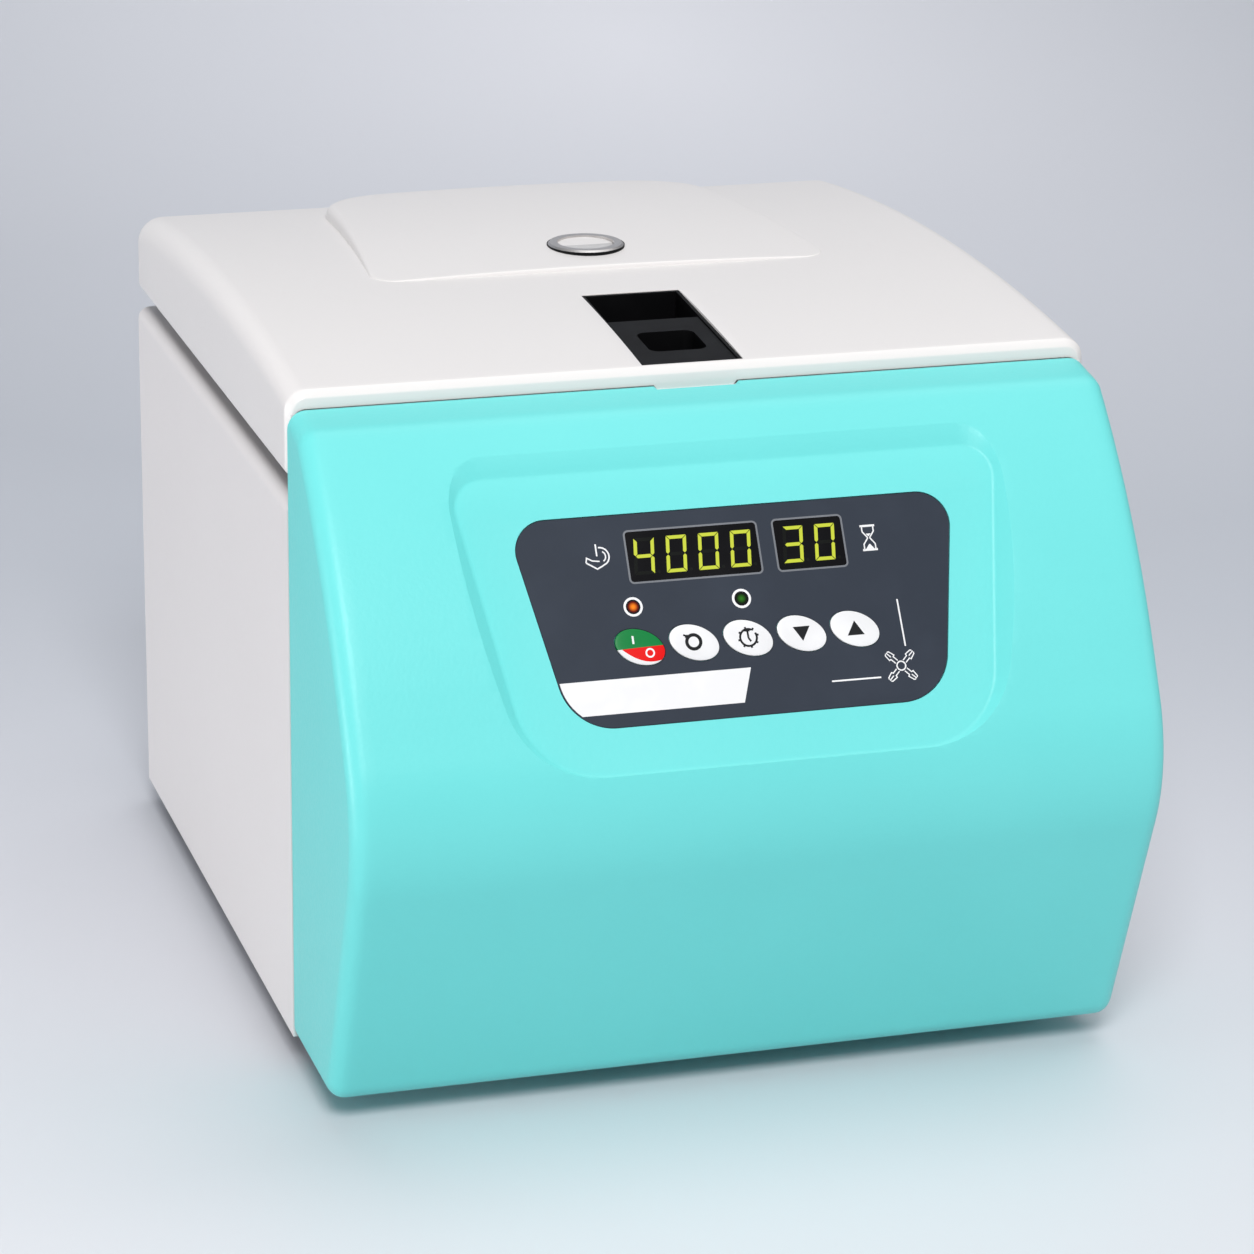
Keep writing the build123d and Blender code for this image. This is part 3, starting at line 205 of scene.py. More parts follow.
class Graph(Tree):
    """The node tree of one material, with a Principled shader at its end."""

    def __init__(self, name: str) -> None:
        """Starts a material with an empty tree.

        Args:
            name: the material's name.
        """
        self.material = bpy.data.materials.new(name)
        self.material.use_nodes = True
        super().__init__(self.material.node_tree)
        self.tree.nodes.clear()
        self.shader = self.tree.nodes.new("ShaderNodeBsdfPrincipled")
        self.node("ShaderNodeOutputMaterial", Surface=self.shader.outputs[0])

    def math(self, operation: str, *operands: Number) -> Value:
        """Adds a Math node.

        Args:
            operation: Blender's name of the operation.
            operands: values or numbers, in the node's order.

        Returns:
            The node's result.
        """
        made = self.tree.nodes.new("ShaderNodeMath")
        made.operation = operation
        for socket, operand in zip(made.inputs, operands):
            self.feed(socket, operand)
        return Value(self, made.outputs[0])

    def place(self) -> bpy.types.NodeSocket:
        """Object coordinates."""
        return self.node("ShaderNodeTexCoord").outputs["Object"]

    def axis(self, letter: str) -> Value:
        """One object coordinate, in metres."""
        return Value(self, self.node("ShaderNodeSeparateXYZ", Vector=self.place()).outputs[letter])

    def stretched(self, scale: Sequence[float]) -> bpy.types.NodeSocket:
        """Object coordinates stretched along each axis."""
        return self.node("ShaderNodeMapping", Vector=self.place(), Scale=tuple(scale)).outputs[0]

    def noise(self, size: float, detail: float = 3.0, vector: bpy.types.NodeSocket | None = None) -> Value:
        """Noise with features of a size in metres."""
        made = self.node("ShaderNodeTexNoise", Vector=vector or self.place(), Scale=1 / size, Detail=detail)
        return Value(self, made.outputs[0])

    def cells(self, size: float, feature: str = "F1") -> Value:
        """Voronoi distance with cells of a size in metres."""
        made = self.node("ShaderNodeTexVoronoi", {"feature": feature}, Vector=self.place(), Scale=1 / size)
        return Value(self, made.outputs["Distance"])

    def ramp(self, value: Value, *stops: tuple[float, float]) -> Value:
        """Maps a value through straight runs between (place, level) stops."""
        made = self.node("ShaderNodeValToRGB", {"stops": [(at, (v, v, v)) for at, v in stops]}, Fac=value)
        return Value(self, made.outputs[0])

    def mix(self, factor: Number, first: object, second: object) -> bpy.types.NodeSocket:
        """Mixes two colours.

        Args:
            factor: share of the second.
            first: colour, or output that carries one.
            second: colour, or output that carries one.

        Returns:
            The mixed colour.
        """
        made = self.tree.nodes.new("ShaderNodeMix")
        made.data_type = "RGBA"
        sockets = [s for s in made.inputs if s.enabled]
        self.feed(sockets[0], factor)
        for socket, colour in zip(sockets[1:3], (first, second)):
            self.feed(socket, (*colour, 1.0) if isinstance(colour, tuple) else colour)
        return [s for s in made.outputs if s.enabled][0]

    def bump(self, height: Value, depth: float) -> None:
        """Feeds a bump of a depth in metres to the shader's normal."""
        made = self.node("ShaderNodeBump", Height=height, Distance=depth, Strength=1.0)
        self.tree.links.new(made.outputs[0], self.shader.inputs["Normal"])

    def surface(self, **inputs: object) -> bpy.types.Material:
        """Sets the shader's sockets.

        Args:
            inputs: values or links by socket name, with underscores for spaces.

        Returns:
            The material.
        """
        for key, value in inputs.items():
            socket = self.shader.inputs[key.replace("_", " ")]
            self.feed(socket, (*value, 1.0) if isinstance(value, tuple) and len(value) == 3 else value)
        return self.material


def socket_named(sockets: bpy.types.bpy_prop_collection, name: str) -> bpy.types.NodeSocket:
    """The enabled socket of that name."""
    return next(s for s in sockets if s.name == name and s.enabled)


def fill_ramp(ramp: bpy.types.ColorRamp, stops: Sequence[tuple[float, Colour]]) -> None:
    """Sets a colour ramp's stops.

    Args:
        ramp: the ramp.
        stops: places and colours, from left to right.
    """
    while len(ramp.elements) < len(stops):
        ramp.elements.new(1.0)
    for element, (at, colour) in zip(ramp.elements, stops):
        element.position = at
        element.color = (*colour, 1.0)


# ---------------- finishes
@dataclass(frozen=True)
class GrainedMoulding:
    """Moulded skin with a fine leather grain."""

    colour: Colour
    shade: Colour
    grain: float = 1.5 * MM
    depth: float = 0.05 * MM
    roughness: float = 0.42
    cloud: float = 90 * MM
    shine: float = 0.3

    def build(self, name: str) -> bpy.types.Material:
        """Builds the material.

        Args:
            name: the material's name.

        Returns:
            The material.
        """
        graph = Graph(name)
        creases = graph.ramp(graph.cells(self.grain, "SMOOTH_F1"), (0.0, 0.0), (0.7, 1.0))
        pores = graph.noise(self.grain / 2, 4.0)
        cloud = graph.noise(self.cloud, 2.0)
        tint = graph.mix(graph.ramp(cloud, (0.35, 0.0), (0.7, 1.0)) * 0.25, self.colour, self.shade)
        graph.bump(creases * 0.7 + pores * 0.5, self.depth)
        gloss = creases * -0.08 + pores * 0.05 + self.roughness
        return graph.surface(Base_Color=tint, Roughness=gloss, Specular_IOR_Level=self.shine)


@dataclass(frozen=True)
class PowderCoat:
    """Sprayed or powder-coated sheet with a faint orange-peel surface."""

    colour: Colour
    roughness: float = 0.4
    peel: float = 2.2 * MM
    depth: float = 0.025 * MM
    cloud: float = 120 * MM

    def build(self, name: str) -> bpy.types.Material:
        """Builds the material.

        Args:
            name: the material's name.

        Returns:
            The material.
        """
        graph = Graph(name)
        peel = graph.noise(self.peel, 2.0)
        speck = graph.noise(self.peel / 5, 2.0)
        cloud = graph.noise(self.cloud, 2.0)
        darker = tuple(c * 0.93 for c in self.colour)
        tint = graph.mix(cloud * 0.5, self.colour, darker)
        graph.bump(peel + speck * 0.4, self.depth)
        return graph.surface(Base_Color=tint, Roughness=peel * 0.12 + self.roughness - 0.06)


@dataclass(frozen=True)
class PlainPlastic:
    """Moulded plastic with a fine spark-eroded texture."""

    colour: Colour
    roughness: float = 0.45
    grain: float = 0.5 * MM
    depth: float = 0.012 * MM
    coat: float = 0.0
    shine: float = 0.5
    wear: float = 25 * MM

    def build(self, name: str) -> bpy.types.Material:
        """Builds the material.

        Args:
            name: the material's name.

        Returns:
            The material.
        """
        graph = Graph(name)
        fine = graph.noise(self.grain, 3.0)
        wear = graph.noise(self.wear, 3.0)
        lighter = tuple(min(1.0, c * 1.25 + 0.004) for c in self.colour)
        tint = graph.mix(graph.ramp(wear, (0.45, 0.0), (0.75, 1.0)) * 0.5, self.colour, lighter)
        graph.bump(fine, self.depth)
        return graph.surface(Base_Color=tint, Roughness=wear * 0.15 + self.roughness - 0.07,
                             Coat_Weight=self.coat, Specular_IOR_Level=self.shine)


@dataclass(frozen=True)
class Metal:
    """Bare metal with drawn or turned lines."""

    colour: Colour
    roughness: float = 0.3
    stretch: tuple[float, float, float] = (1.0, 1.0, 40.0)
    line: float = 6 * MM
    depth: float = 0.01 * MM
    smudge: float = 30 * MM

    def build(self, name: str) -> bpy.types.Material:
        """Builds the material.

        Args:
            name: the material's name.

        Returns:
            The material.
        """
        graph = Graph(name)
        lines = graph.noise(self.line, 4.0, graph.stretched(self.stretch))
        smudge = graph.noise(self.smudge, 3.0)
        darker = tuple(c * 0.8 for c in self.colour)
        tint = graph.mix(lines * 0.6, self.colour, darker)
        graph.bump(lines, self.depth)
        gloss = lines * 0.16 + smudge * 0.12 + self.roughness - 0.12
        return graph.surface(Base_Color=tint, Roughness=gloss, Metallic=1.0)


@dataclass(frozen=True)
class Glow:
    """Lit plastic, as in a display segment."""

    colour: Colour
    strength: float
    grain: float = 0.6 * MM

    def build(self, name: str) -> bpy.types.Material:
        """Builds the material.

        Args:
            name: the material's name.

        Returns:
            The material.
        """
        graph = Graph(name)
        grain = graph.noise(self.grain, 2.0)
        light = graph.mix(grain * 0.3, self.colour, tuple(c * 0.8 for c in self.colour))
        return graph.surface(Base_Color=tuple(c * 0.3 for c in self.colour), Roughness=0.4,
                             Emission_Color=light, Emission_Strength=self.strength)


@dataclass(frozen=True)
class Pane:
    """Clear plastic or glass."""

    colour: Colour
    alpha: float = 0.3
    roughness: float = 0.05
    smear: float = 8 * MM

    def build(self, name: str) -> bpy.types.Material:
        """Builds the material.

        Args:
            name: the material's name.

        Returns:
            The material.
        """
        graph = Graph(name)
        smear = graph.noise(self.smear, 3.0)
        return graph.surface(Base_Color=self.colour, Roughness=smear * 0.08 + self.roughness,
                             Alpha=smear * 0.1 + self.alpha)


@dataclass(frozen=True)
class Board:
    """Printed circuit board with tracks and pads."""

    mask: Colour = (0.02, 0.14, 0.05)
    track: Colour = (0.05, 0.28, 0.1)
    cell: float = 9 * MM

    def build(self, name: str) -> bpy.types.Material:
        """Builds the material.

        Args:
            name: the material's name.

        Returns:
            The material.
        """
        graph = Graph(name)
        cells = graph.node("ShaderNodeTexBrick", Vector=graph.place(), Scale=1 / self.cell, Mortar_Size=0.06,
                           Color1=(*self.mask, 1), Color2=(*self.mask, 1), Mortar=(*self.track, 1))
        return graph.surface(Base_Color=cells.outputs[0], Roughness=graph.noise(4 * MM) * 0.2 + 0.3)


def panel_place(graph: Graph, across: float, up: float) -> tuple[Value, Value]:
    """Distances of a point from a place on the keypad's slope.

    Args:
        graph: the material's tree.
        across: the place's distance across the slope, in millimetres.
        up: its distance up the slope, in millimetres.

    Returns:
        Distances across and up the slope, in metres.
    """
    tilt = math.radians(RECESS.tilt)
    along, height = graph.axis("Y") - RECESS.y * MM, graph.axis("Z") - RECESS.z * MM
    return graph.axis("X") - across * MM, along * math.sin(tilt) + height * math.cos(tilt) - up * MM


@dataclass(frozen=True)
class Lamps:
    """Two indicator lenses that glow from the middle: one lit on the left, one dim on the right."""

    lit: tuple[Colour, Colour] = ((0.10, 0.002, 0.001), (1.0, 0.24, 0.012))
    dim: tuple[Colour, Colour] = ((0.001, 0.008, 0.001), (0.02, 0.15, 0.008))
    lens: Colour = (0.006, 0.004, 0.004)
    strength: float = 1.3

    def build(self, name: str) -> bpy.types.Material:
        """Builds the material.

        Args:
            name: the material's name.

        Returns:
            The material.
        """
        graph = Graph(name)
        halves = []
        for place, (edge, core) in zip(LAMPS_AT, (self.lit, self.dim)):
            across, up = panel_place(graph, *place)
            apart = graph.math("SQRT", across * across + up * up) / (LAMP_RADIUS * MM)
            halves.append(graph.mix(graph.ramp(apart, (0.1, 1.0), (0.85, 0.0)), edge, core))
        side = graph.axis("X") > (LAMPS_AT[0][0] + LAMPS_AT[1][0]) / 2 * MM
        glow = graph.mix(side, *halves)
        grain = graph.noise(1.2 * MM, 2.0)
        return graph.surface(Base_Color=self.lens, Roughness=grain * 0.1 + 0.1, Emission_Color=glow,
                             Emission_Strength=self.strength, Specular_IOR_Level=0.2)


@dataclass(frozen=True)
class SplitKey:
    """Two-coloured key: green over red with a white sweep along its lower edge."""

    green: Colour = (0.004, 0.20, 0.045)
    red: Colour = (0.74, 0.006, 0.006)
    white: Colour = (0.78, 0.78, 0.79)

    def build(self, name: str) -> bpy.types.Material:
        """Builds the material.

        Args:
            name: the material's name.

        Returns:
            The material.
        """
        graph = Graph(name)
        across, up = panel_place(graph, KEY_X, KEY_V)
        split = up > across * 0.03 - 0.3 * MM
        bend = across * across * 42.0 - across * 0.36
        sweep = up < bend - 5.1 * MM
        lower = graph.mix(sweep, self.red, self.white)
        tint = graph.mix(split, lower, self.green)
        wear = graph.noise(6 * MM, 3.0)
        return graph.surface(Base_Color=tint, Roughness=wear * 0.12 + 0.32, Specular_IOR_Level=0.2)


class Finish(Enum):
    """Every finish on the machine, by the name of what it covers."""

    COVER = GrainedMoulding((0.166, 0.705, 0.690), (0.143, 0.652, 0.640))
    LID = PowderCoat((0.80, 0.775, 0.765), 0.36, 1.6 * MM, 0.012 * MM)
    CABINET = PowderCoat((0.80, 0.77, 0.765), 0.42)
    DECK = PowderCoat((0.62, 0.61, 0.62), 0.45)
    LINER = PlainPlastic((0.70, 0.70, 0.69), 0.5, shine=0.3)
    PANEL = PlainPlastic((0.026, 0.034, 0.050), 0.5, 0.35 * MM, shine=0.2)
    SCREEN = PlainPlastic((0.003, 0.003, 0.004), 0.25, 0.8 * MM, 0.002 * MM, shine=0.2)
    BLACK = PlainPlastic((0.003, 0.003, 0.0035), 0.5, shine=0.12)
    FITTING = PlainPlastic((0.014, 0.014, 0.015), 0.4)
    WHITE_PRINT = PlainPlastic((0.80, 0.80, 0.81), 0.4)
    DARK_PRINT = PlainPlastic((0.010, 0.011, 0.013), 0.5, shine=0.15)
    BORDER_PRINT = PlainPlastic((0.16, 0.17, 0.19), 0.4)
    SPLIT_KEY = SplitKey()
    KEY = PlainPlastic((0.78, 0.78, 0.79), 0.32, coat=0.2)
    RUBBER = PlainPlastic((0.016, 0.016, 0.017), 0.65, 0.9 * MM, 0.03 * MM)
    GREY_RUBBER = PlainPlastic((0.08, 0.08, 0.085), 0.65, 0.9 * MM, 0.03 * MM)
    BEZEL = Metal((0.66, 0.64, 0.63), 0.42, (1.0, 1.0, 30.0), 3 * MM)
    STEEL = Metal((0.46, 0.46, 0.47), 0.36)
    BRIGHT = Metal((0.60, 0.60, 0.61), 0.22)
    BOWL = Metal((0.56, 0.56, 0.57), 0.3, (1.0, 1.0, 60.0), 9 * MM)
    ALLOY = Metal((0.60, 0.61, 0.63), 0.33, (1.0, 1.0, 12.0), 4 * MM)
    CHAMBER = PlainPlastic((0.78, 0.79, 0.78), 0.4)
    GLASS = PlainPlastic((0.56, 0.55, 0.54), 0.3, coat=0.3)
    SLIDE = Pane((0.72, 0.86, 0.84), 0.32)
    CIRCUIT = Board()
    LAMPS = Lamps()
    LIT = Glow((0.50, 0.56, 0.025), 0.90)
    UNLIT = PlainPlastic((0.006, 0.007, 0.006), 0.3, shine=0.15)

    def material(self) -> bpy.types.Material:
        """The finish's material, built once."""
        name = self.name.lower()
        return bpy.data.materials.get(name) or self.value.build(name)


# ---------------- mesh toolkit
def finish_piece(piece: bpy.types.Object, finish: Finish, body: str, sharp: float | None) -> None:
    """Gives a piece its finish, its shading and its body.

    Args:
        piece: the mesh object.
        finish: what covers it.
        body: the moving body it rides on.
        sharp: angle over which an edge stays sharp, in degrees; None leaves the faces flat.
    """
    mesh = piece.data
    mesh.materials.clear()
    mesh.materials.append(finish.material())
    if sharp is not None:
        mesh.shade_smooth()
        mesh.set_sharp_from_angle(angle=math.radians(sharp))
    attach(piece, body)
    LOG.info("%s on %s: %d faces", piece.name, body, len(mesh.polygons))


def recalculate(piece: bpy.types.Object) -> bpy.types.Object:
    """Merges doubles and points every face outwards.

    Args:
        piece: the mesh object.

    Returns:
        The same object.
    """
    work = bmesh.new()
    work.from_mesh(piece.data)
    bmesh.ops.remove_doubles(work, verts=work.verts, dist=1e-6)
    bmesh.ops.recalc_face_normals(work, faces=work.faces)
    work.to_mesh(piece.data)
    work.free()
    return piece


def apply_modifiers(piece: bpy.types.Object) -> None:
    """Turns a piece and its modifiers into a plain mesh.

    Args:
        piece: the object with modifiers.
    """
    bpy.context.view_layer.update()
    result = bpy.data.meshes.new_from_object(piece.evaluated_get(bpy.context.evaluated_depsgraph_get()))
    piece.modifiers.clear()
    piece.data = result


class Combine(Enum):
    """What one closed mesh does to another."""

    CUT = "DIFFERENCE"
    FUSE = "UNION"


def combine(piece: bpy.types.Object, other: bpy.types.Object, how: Combine) -> None:
    """Cuts a closed mesh out of a piece, or fuses it into the piece, and deletes it.

    Args:
        piece: the closed mesh to change.
        other: the closed mesh that is used up.
        how: cut or fuse.
    """
    change = piece.modifiers.new("combine", "BOOLEAN")
    change.operation = how.value
    change.solver = "EXACT"
    change.object = other
    apply_modifiers(piece)
    bpy.data.objects.remove(other)


def loose_object(name: str, points: Sequence[Vector], faces: Faces) -> bpy.types.Object:
    """Makes an object that isn't a piece yet.

    Args:
        name: its name.
        points: corners in metres.
        faces: corner numbers of each face.

    Returns:
        The object.
    """
    mesh = bpy.data.meshes.new(name)
    mesh.from_pydata([tuple(p) for p in points], [], [tuple(f) for f in faces])
    mesh.update()
    made = bpy.data.objects.new(name, mesh)
    bpy.context.scene.collection.objects.link(made)
    return made


def prism(outline: Sequence[Point2], place: Place, low: float, high: float) -> Skin:
    """Closed prism over a plane outline.

    Args:
        outline: corners, anticlockwise seen from outside.
        place: turns (across, up, out) into a point in metres.
        low: height of the back face.
        high: height of the front face.

    Returns:
        Points and faces.
    """
    count = len(outline)
    points = [place(a, b, low) for a, b in outline] + [place(a, b, high) for a, b in outline]
    faces = [[(i + 1) % count, (i + 1) % count + count, i + count, i] for i in range(count)]
    faces.append(list(range(count))[::-1])
    faces.append(list(range(count, 2 * count)))
    return points, faces


def joined(parts: Iterable[Skin]) -> Skin:
    """Puts several skins together.

    Args:
        parts: points and faces of each.

    Returns:
        Points and faces of them all.
    """
    points: list[Vector] = []
    faces: Faces = []
    for some, around in parts:
        faces += [[i + len(points) for i in face] for face in around]
        points += list(some)
    return points, faces


def rounded(corners: Sequence[Corner], step: float, closed: bool = True,
            run: float | None = None) -> list[Point2]:
    """Points along an outline with rounded corners.

    Args:
        corners: the outline's corners in order.
        step: longest chord on an arc.
        closed: whether the last corner joins the first.
        run: longest stretch between points on the straights, or None for no extra points.

    Returns:
        Points in millimetres.
    """
    points: list[Point2] = []
    count = len(corners)
    for i, corner in enumerate(corners):
        here = Vector((corner.a, corner.b))
        if corner.radius <= 0 or (not closed and i in (0, count - 1)):
            points.append((here.x, here.y))
            continue
        before, after = corners[i - 1], corners[(i + 1) % count]
        back = (Vector((before.a, before.b)) - here).normalized()
        ahead = (Vector((after.a, after.b)) - here).normalized()
        half = math.acos(max(-1.0, min(1.0, back.dot(ahead)))) / 2
        reach = corner.radius / math.tan(half)
        centre = here + (back + ahead).normalized() * corner.radius / math.sin(half)
        start, end = here + back * reach - centre, here + ahead * reach - centre
        turn = math.atan2(start.x * end.y - start.y * end.x, start.dot(end))
        pieces = max(2, math.ceil(abs(turn) * corner.radius / step))
        for k in range(pieces + 1):
            angle = turn * k / pieces
            spun = Vector((start.x * math.cos(angle) - start.y * math.sin(angle),
                           start.x * math.sin(angle) + start.y * math.cos(angle)))
            points.append(tuple(centre + spun))
    return spaced(points, run, closed) if run else points


def spaced(points: Sequence[Point2], run: float, closed: bool) -> list[Point2]:
    """Adds points on stretches longer than a run.

    Args:
        points: the path.
        run: longest stretch between two points.
        closed: whether its ends join.

    Returns:
        The denser path.
    """
    result: list[Point2] = []
    pairs = list(zip(points, list(points[1:]) + ([points[0]] if closed else [])))
    for (a0, b0), (a1, b1) in pairs:
        pieces = max(1, math.ceil(math.hypot(a1 - a0, b1 - b0) / run))
        result += [(a0 + (a1 - a0) * k / pieces, b0 + (b1 - b0) * k / pieces) for k in range(pieces)]
    return result if closed else result + [points[-1]]


def smooth_min(a: float, b: float, blend: float) -> float:
    """The lesser of two values with a rounded change-over of a given size."""
    part = max(blend - abs(a - b), 0.0) / blend
    return min(a, b) - part * part * blend / 4


def smooth_step(t: float) -> float:
    """Smooth rise from 0 to 1."""
    t = max(0.0, min(1.0, t))
    return t * t * (3 - 2 * t)


def stations(stops: Sequence[tuple[float, float]]) -> list[float]:
    """Places along a line.

    Args:
        stops: the start first, then (end, spacing) stops that each run on from the one before.

    Returns:
        The places, with the start and every end among them.
    """
    places = [stops[0][0]]
    for end, spacing in stops[1:]:
        start = places[-1]
        pieces = max(1, round((end - start) / spacing))
        places += [start + (end - start) * (k + 1) / pieces for k in range(pieces)]
    return places


def sheet(rows: Sequence[Sequence[Vector]]) -> Skin:
    """Quad sheet through rows of points.

    Args:
        rows: rows of equal length.

    Returns:
        Points and faces.
    """
    wide = len(rows[0])
    faces = [[r * wide + c, r * wide + c + 1, (r + 1) * wide + c + 1, (r + 1) * wide + c]
             for r in range(len(rows) - 1) for c in range(wide - 1)]
    return [p for row in rows for p in row], faces


def offset_corners(corners: Sequence[Corner], amount: float) -> list[Corner]:
    """The same convex outline grown all round; its radii grow with it.

    Args:
        corners: the outline.
        amount: how far it grows.

    Returns:
        The grown outline.
    """
    count = len(corners)
    grown: list[Corner] = []
    for i, corner in enumerate(corners):
        before, after = corners[i - 1], corners[(i + 1) % count]
        into = Vector((corner.a - before.a, corner.b - before.b)).normalized()
        away = Vector((after.a - corner.a, after.b - corner.b)).normalized()
        first, second = Vector((into.y, -into.x)), Vector((away.y, -away.x))
        push = (first + second) * amount / (1 + first.dot(second))
        grown.append(Corner(corner.a + push.x, corner.b + push.y, max(0.0, corner.radius + amount)))
    return grown


class Field:
    """Distance field of a convex, anticlockwise outline with rounded corners."""

    def __init__(self, corners: Sequence[Corner]) -> None:
        """Works out each side and each corner's circle.

        Args:
            corners: the outline.
        """
        count = len(corners)
        self.sides: list[tuple[Vector, Vector]] = []
        self.arcs: list[tuple[Vector, float, Vector, Vector]] = []
        for i, corner in enumerate(corners):
            before, after = corners[i - 1], corners[(i + 1) % count]
            here = Vector((corner.a, corner.b))
            ahead = (Vector((after.a, after.b)) - here).normalized()
            back = (Vector((before.a, before.b)) - here).normalized()
            self.sides.append((here, Vector((ahead.y, -ahead.x))))
            if corner.radius > 0:
                half = math.acos(back.dot(ahead)) / 2
                centre = here + (back + ahead).normalized() * corner.radius / math.sin(half)
                self.arcs.append((centre, corner.radius, back, ahead))

    def distance(self, a: float, b: float) -> float:
        """Distance of a point from the outline.

        Args:
            a: the point's first coordinate.
            b: its second.

        Returns:
            The distance, negative inside.
        """
        here = Vector((a, b))
        for centre, radius, back, ahead in self.arcs:
            offset = here - centre
            if offset.dot(back) < 0 and offset.dot(ahead) < 0:
                return offset.length - radius
        return max((here - start).dot(out) for start, out in self.sides)


def soften(piece: bpy.types.Object, chosen: Callable[[Vector, Vector], bool], width: float,
           steps: int = 2) -> None:
    """Bevels the edges that a test picks.

    Args:
        piece: the mesh object.
        chosen: test on an edge's two ends, in millimetres.
        width: the bevel's width in millimetres.
        steps: segments across it.
    """
    work = bmesh.new()
    work.from_mesh(piece.data)
    sharp = [e for e in work.edges if len(e.link_faces) == 2 and e.calc_face_angle(0.0) > FOLD
             and chosen(e.verts[0].co / MM, e.verts[1].co / MM)]
    bmesh.ops.bevel(work, geom=sharp, offset=width * MM, segments=steps, profile=0.5, affect="EDGES",
                    clamp_overlap=True)
    work.to_mesh(piece.data)
    work.free()


def shell_between(outer: Sequence[Sequence[Vector]], inner: Sequence[Sequence[Vector]]) -> Skin:
    """Closed wall between two skins that share columns and are open along their first and last rows.

    Args:
        outer: rows of points of the outside, each from one cheek to the other.
        inner: rows of points of the inside, with the same number of columns.

    Returns:
        Points and faces of the closed wall.
    """
    points, faces = joined([sheet(outer), sheet(inner)])
    wide = len(outer[0])
    start = len(outer) * wide
    last_outer, last_inner = (len(outer) - 1) * wide, start + (len(inner) - 1) * wide
    for base, row in ((0, start), (last_outer, last_inner)):
        faces += [[base + c, base + c + 1, row + c + 1, row + c] for c in range(wide - 1)]
    for column in (0, wide - 1):
        faces.append([r * wide + column for r in range(len(outer))])
        faces.append([start + r * wide + column for r in range(len(inner))])
        faces.append([column, last_outer + column, last_inner + column, start + column])
    return points, faces


def ribbon(path: Sequence[Point2], width: float, closed: bool = False) -> list[tuple[Point2, Point2]]:
    """Edges of a stroke along a path, mitred at its bends.

    Args:
        path: middle line of the stroke.
        width: the stroke's width.
        closed: whether the last point joins the first.

    Returns:
        Left and right points at every point of the path.
    """
    count = len(path)
    edges: list[tuple[Point2, Point2]] = []
    for i, (a, b) in enumerate(path):
        here = Vector((a, b))
        before = Vector(path[i - 1]) if closed or i else None
        after = Vector(path[(i + 1) % count]) if closed or i < count - 1 else None
        into = (here - before).normalized() if before is not None else (after - here).normalized()
        away = (after - here).normalized() if after is not None else into
        side = Vector((-into.y, into.x)) + Vector((-away.y, away.x))
        side = side.normalized() * width / 2 / max(MITRE, side.normalized().dot(Vector((-into.y, into.x))))
        edges.append((tuple(here + side), tuple(here - side)))
    return edges


def arc_through(first: Point2, middle: Point2, last: Point2) -> tuple[float, float, float]:
    """Circle through three points of a side view.

    Args:
        first: a point on it.
        middle: a second point.
        last: a third point.

    Returns:
        The centre's place and height, and the radius.
    """
    (a, b), (c, d), (e, f) = first, middle, last
    span = 2 * (a * (d - f) + c * (f - b) + e * (b - d))
    one, two, three = a * a + b * b, c * c + d * d, e * e + f * f
    across = (one * (d - f) + two * (f - b) + three * (b - d)) / span
    up = (one * (e - c) + two * (a - e) + three * (c - a)) / span
    return across, up, math.hypot(a - across, b - up)


def circle(a: float, b: float, radius: float, count: int) -> list[Point2]:
    """Anticlockwise circle."""
    return [(a + radius * math.cos(math.tau * k / count), b + radius * math.sin(math.tau * k / count))
            for k in range(count)]


def rectangle(a: float, b: float, half: float, tall: float) -> list[Point2]:
    """Anticlockwise rectangle from its middle and its half sizes."""
    return [(a - half, b - tall), (a + half, b - tall), (a + half, b + tall), (a - half, b + tall)]


def outward(path: Sequence[Point2]) -> list[Vector]:
    """Outward directions at the points of a closed, anticlockwise path."""
    along = [Vector(path[(i + 1) % len(path)]) - Vector(path[i - 1]) for i in range(len(path))]
    return [Vector((step.y, -step.x)).normalized() for step in along]


def bands(rings: Sequence[Sequence[Vector]]) -> Skin:
    """Open skin over rings of points.

    Args:
        rings: closed rings of equal length.

    Returns:
        Points and faces.
    """
    count = len(rings[0])
    faces = []
    for start in range(0, (len(rings) - 1) * count, count):
        for i in range(count):
            j = (i + 1) % count
            faces.append([start + i, start + j, start + count + j, start + count + i])
    return [p for ring in rings for p in ring], faces


def loft(rings: Sequence[Sequence[Vector]]) -> Skin:
    """Closed skin over rings of equal length, capped at both ends."""
    (points, faces), count = bands(rings), len(rings[0])
    return points, faces + [list(range(count))[::-1], list(range(len(points) - count, len(points)))]


def domed(rings: Sequence[Sequence[Vector]], tip: Vector) -> Skin:
    """Closed skin over rings, flat at its foot and drawn together to a tip.

    Args:
        rings: rings of equal length, from the foot to the last one below the tip.
        tip: the top point.

    Returns:
        Points and faces.
    """
    points, faces = bands(rings)
    count, last = len(rings[0]), len(points) - len(rings[0])
    faces += [[last + i, last + (i + 1) % count, len(points)] for i in range(count)]
    return [*points, tip], [*faces, list(range(count))[::-1]]


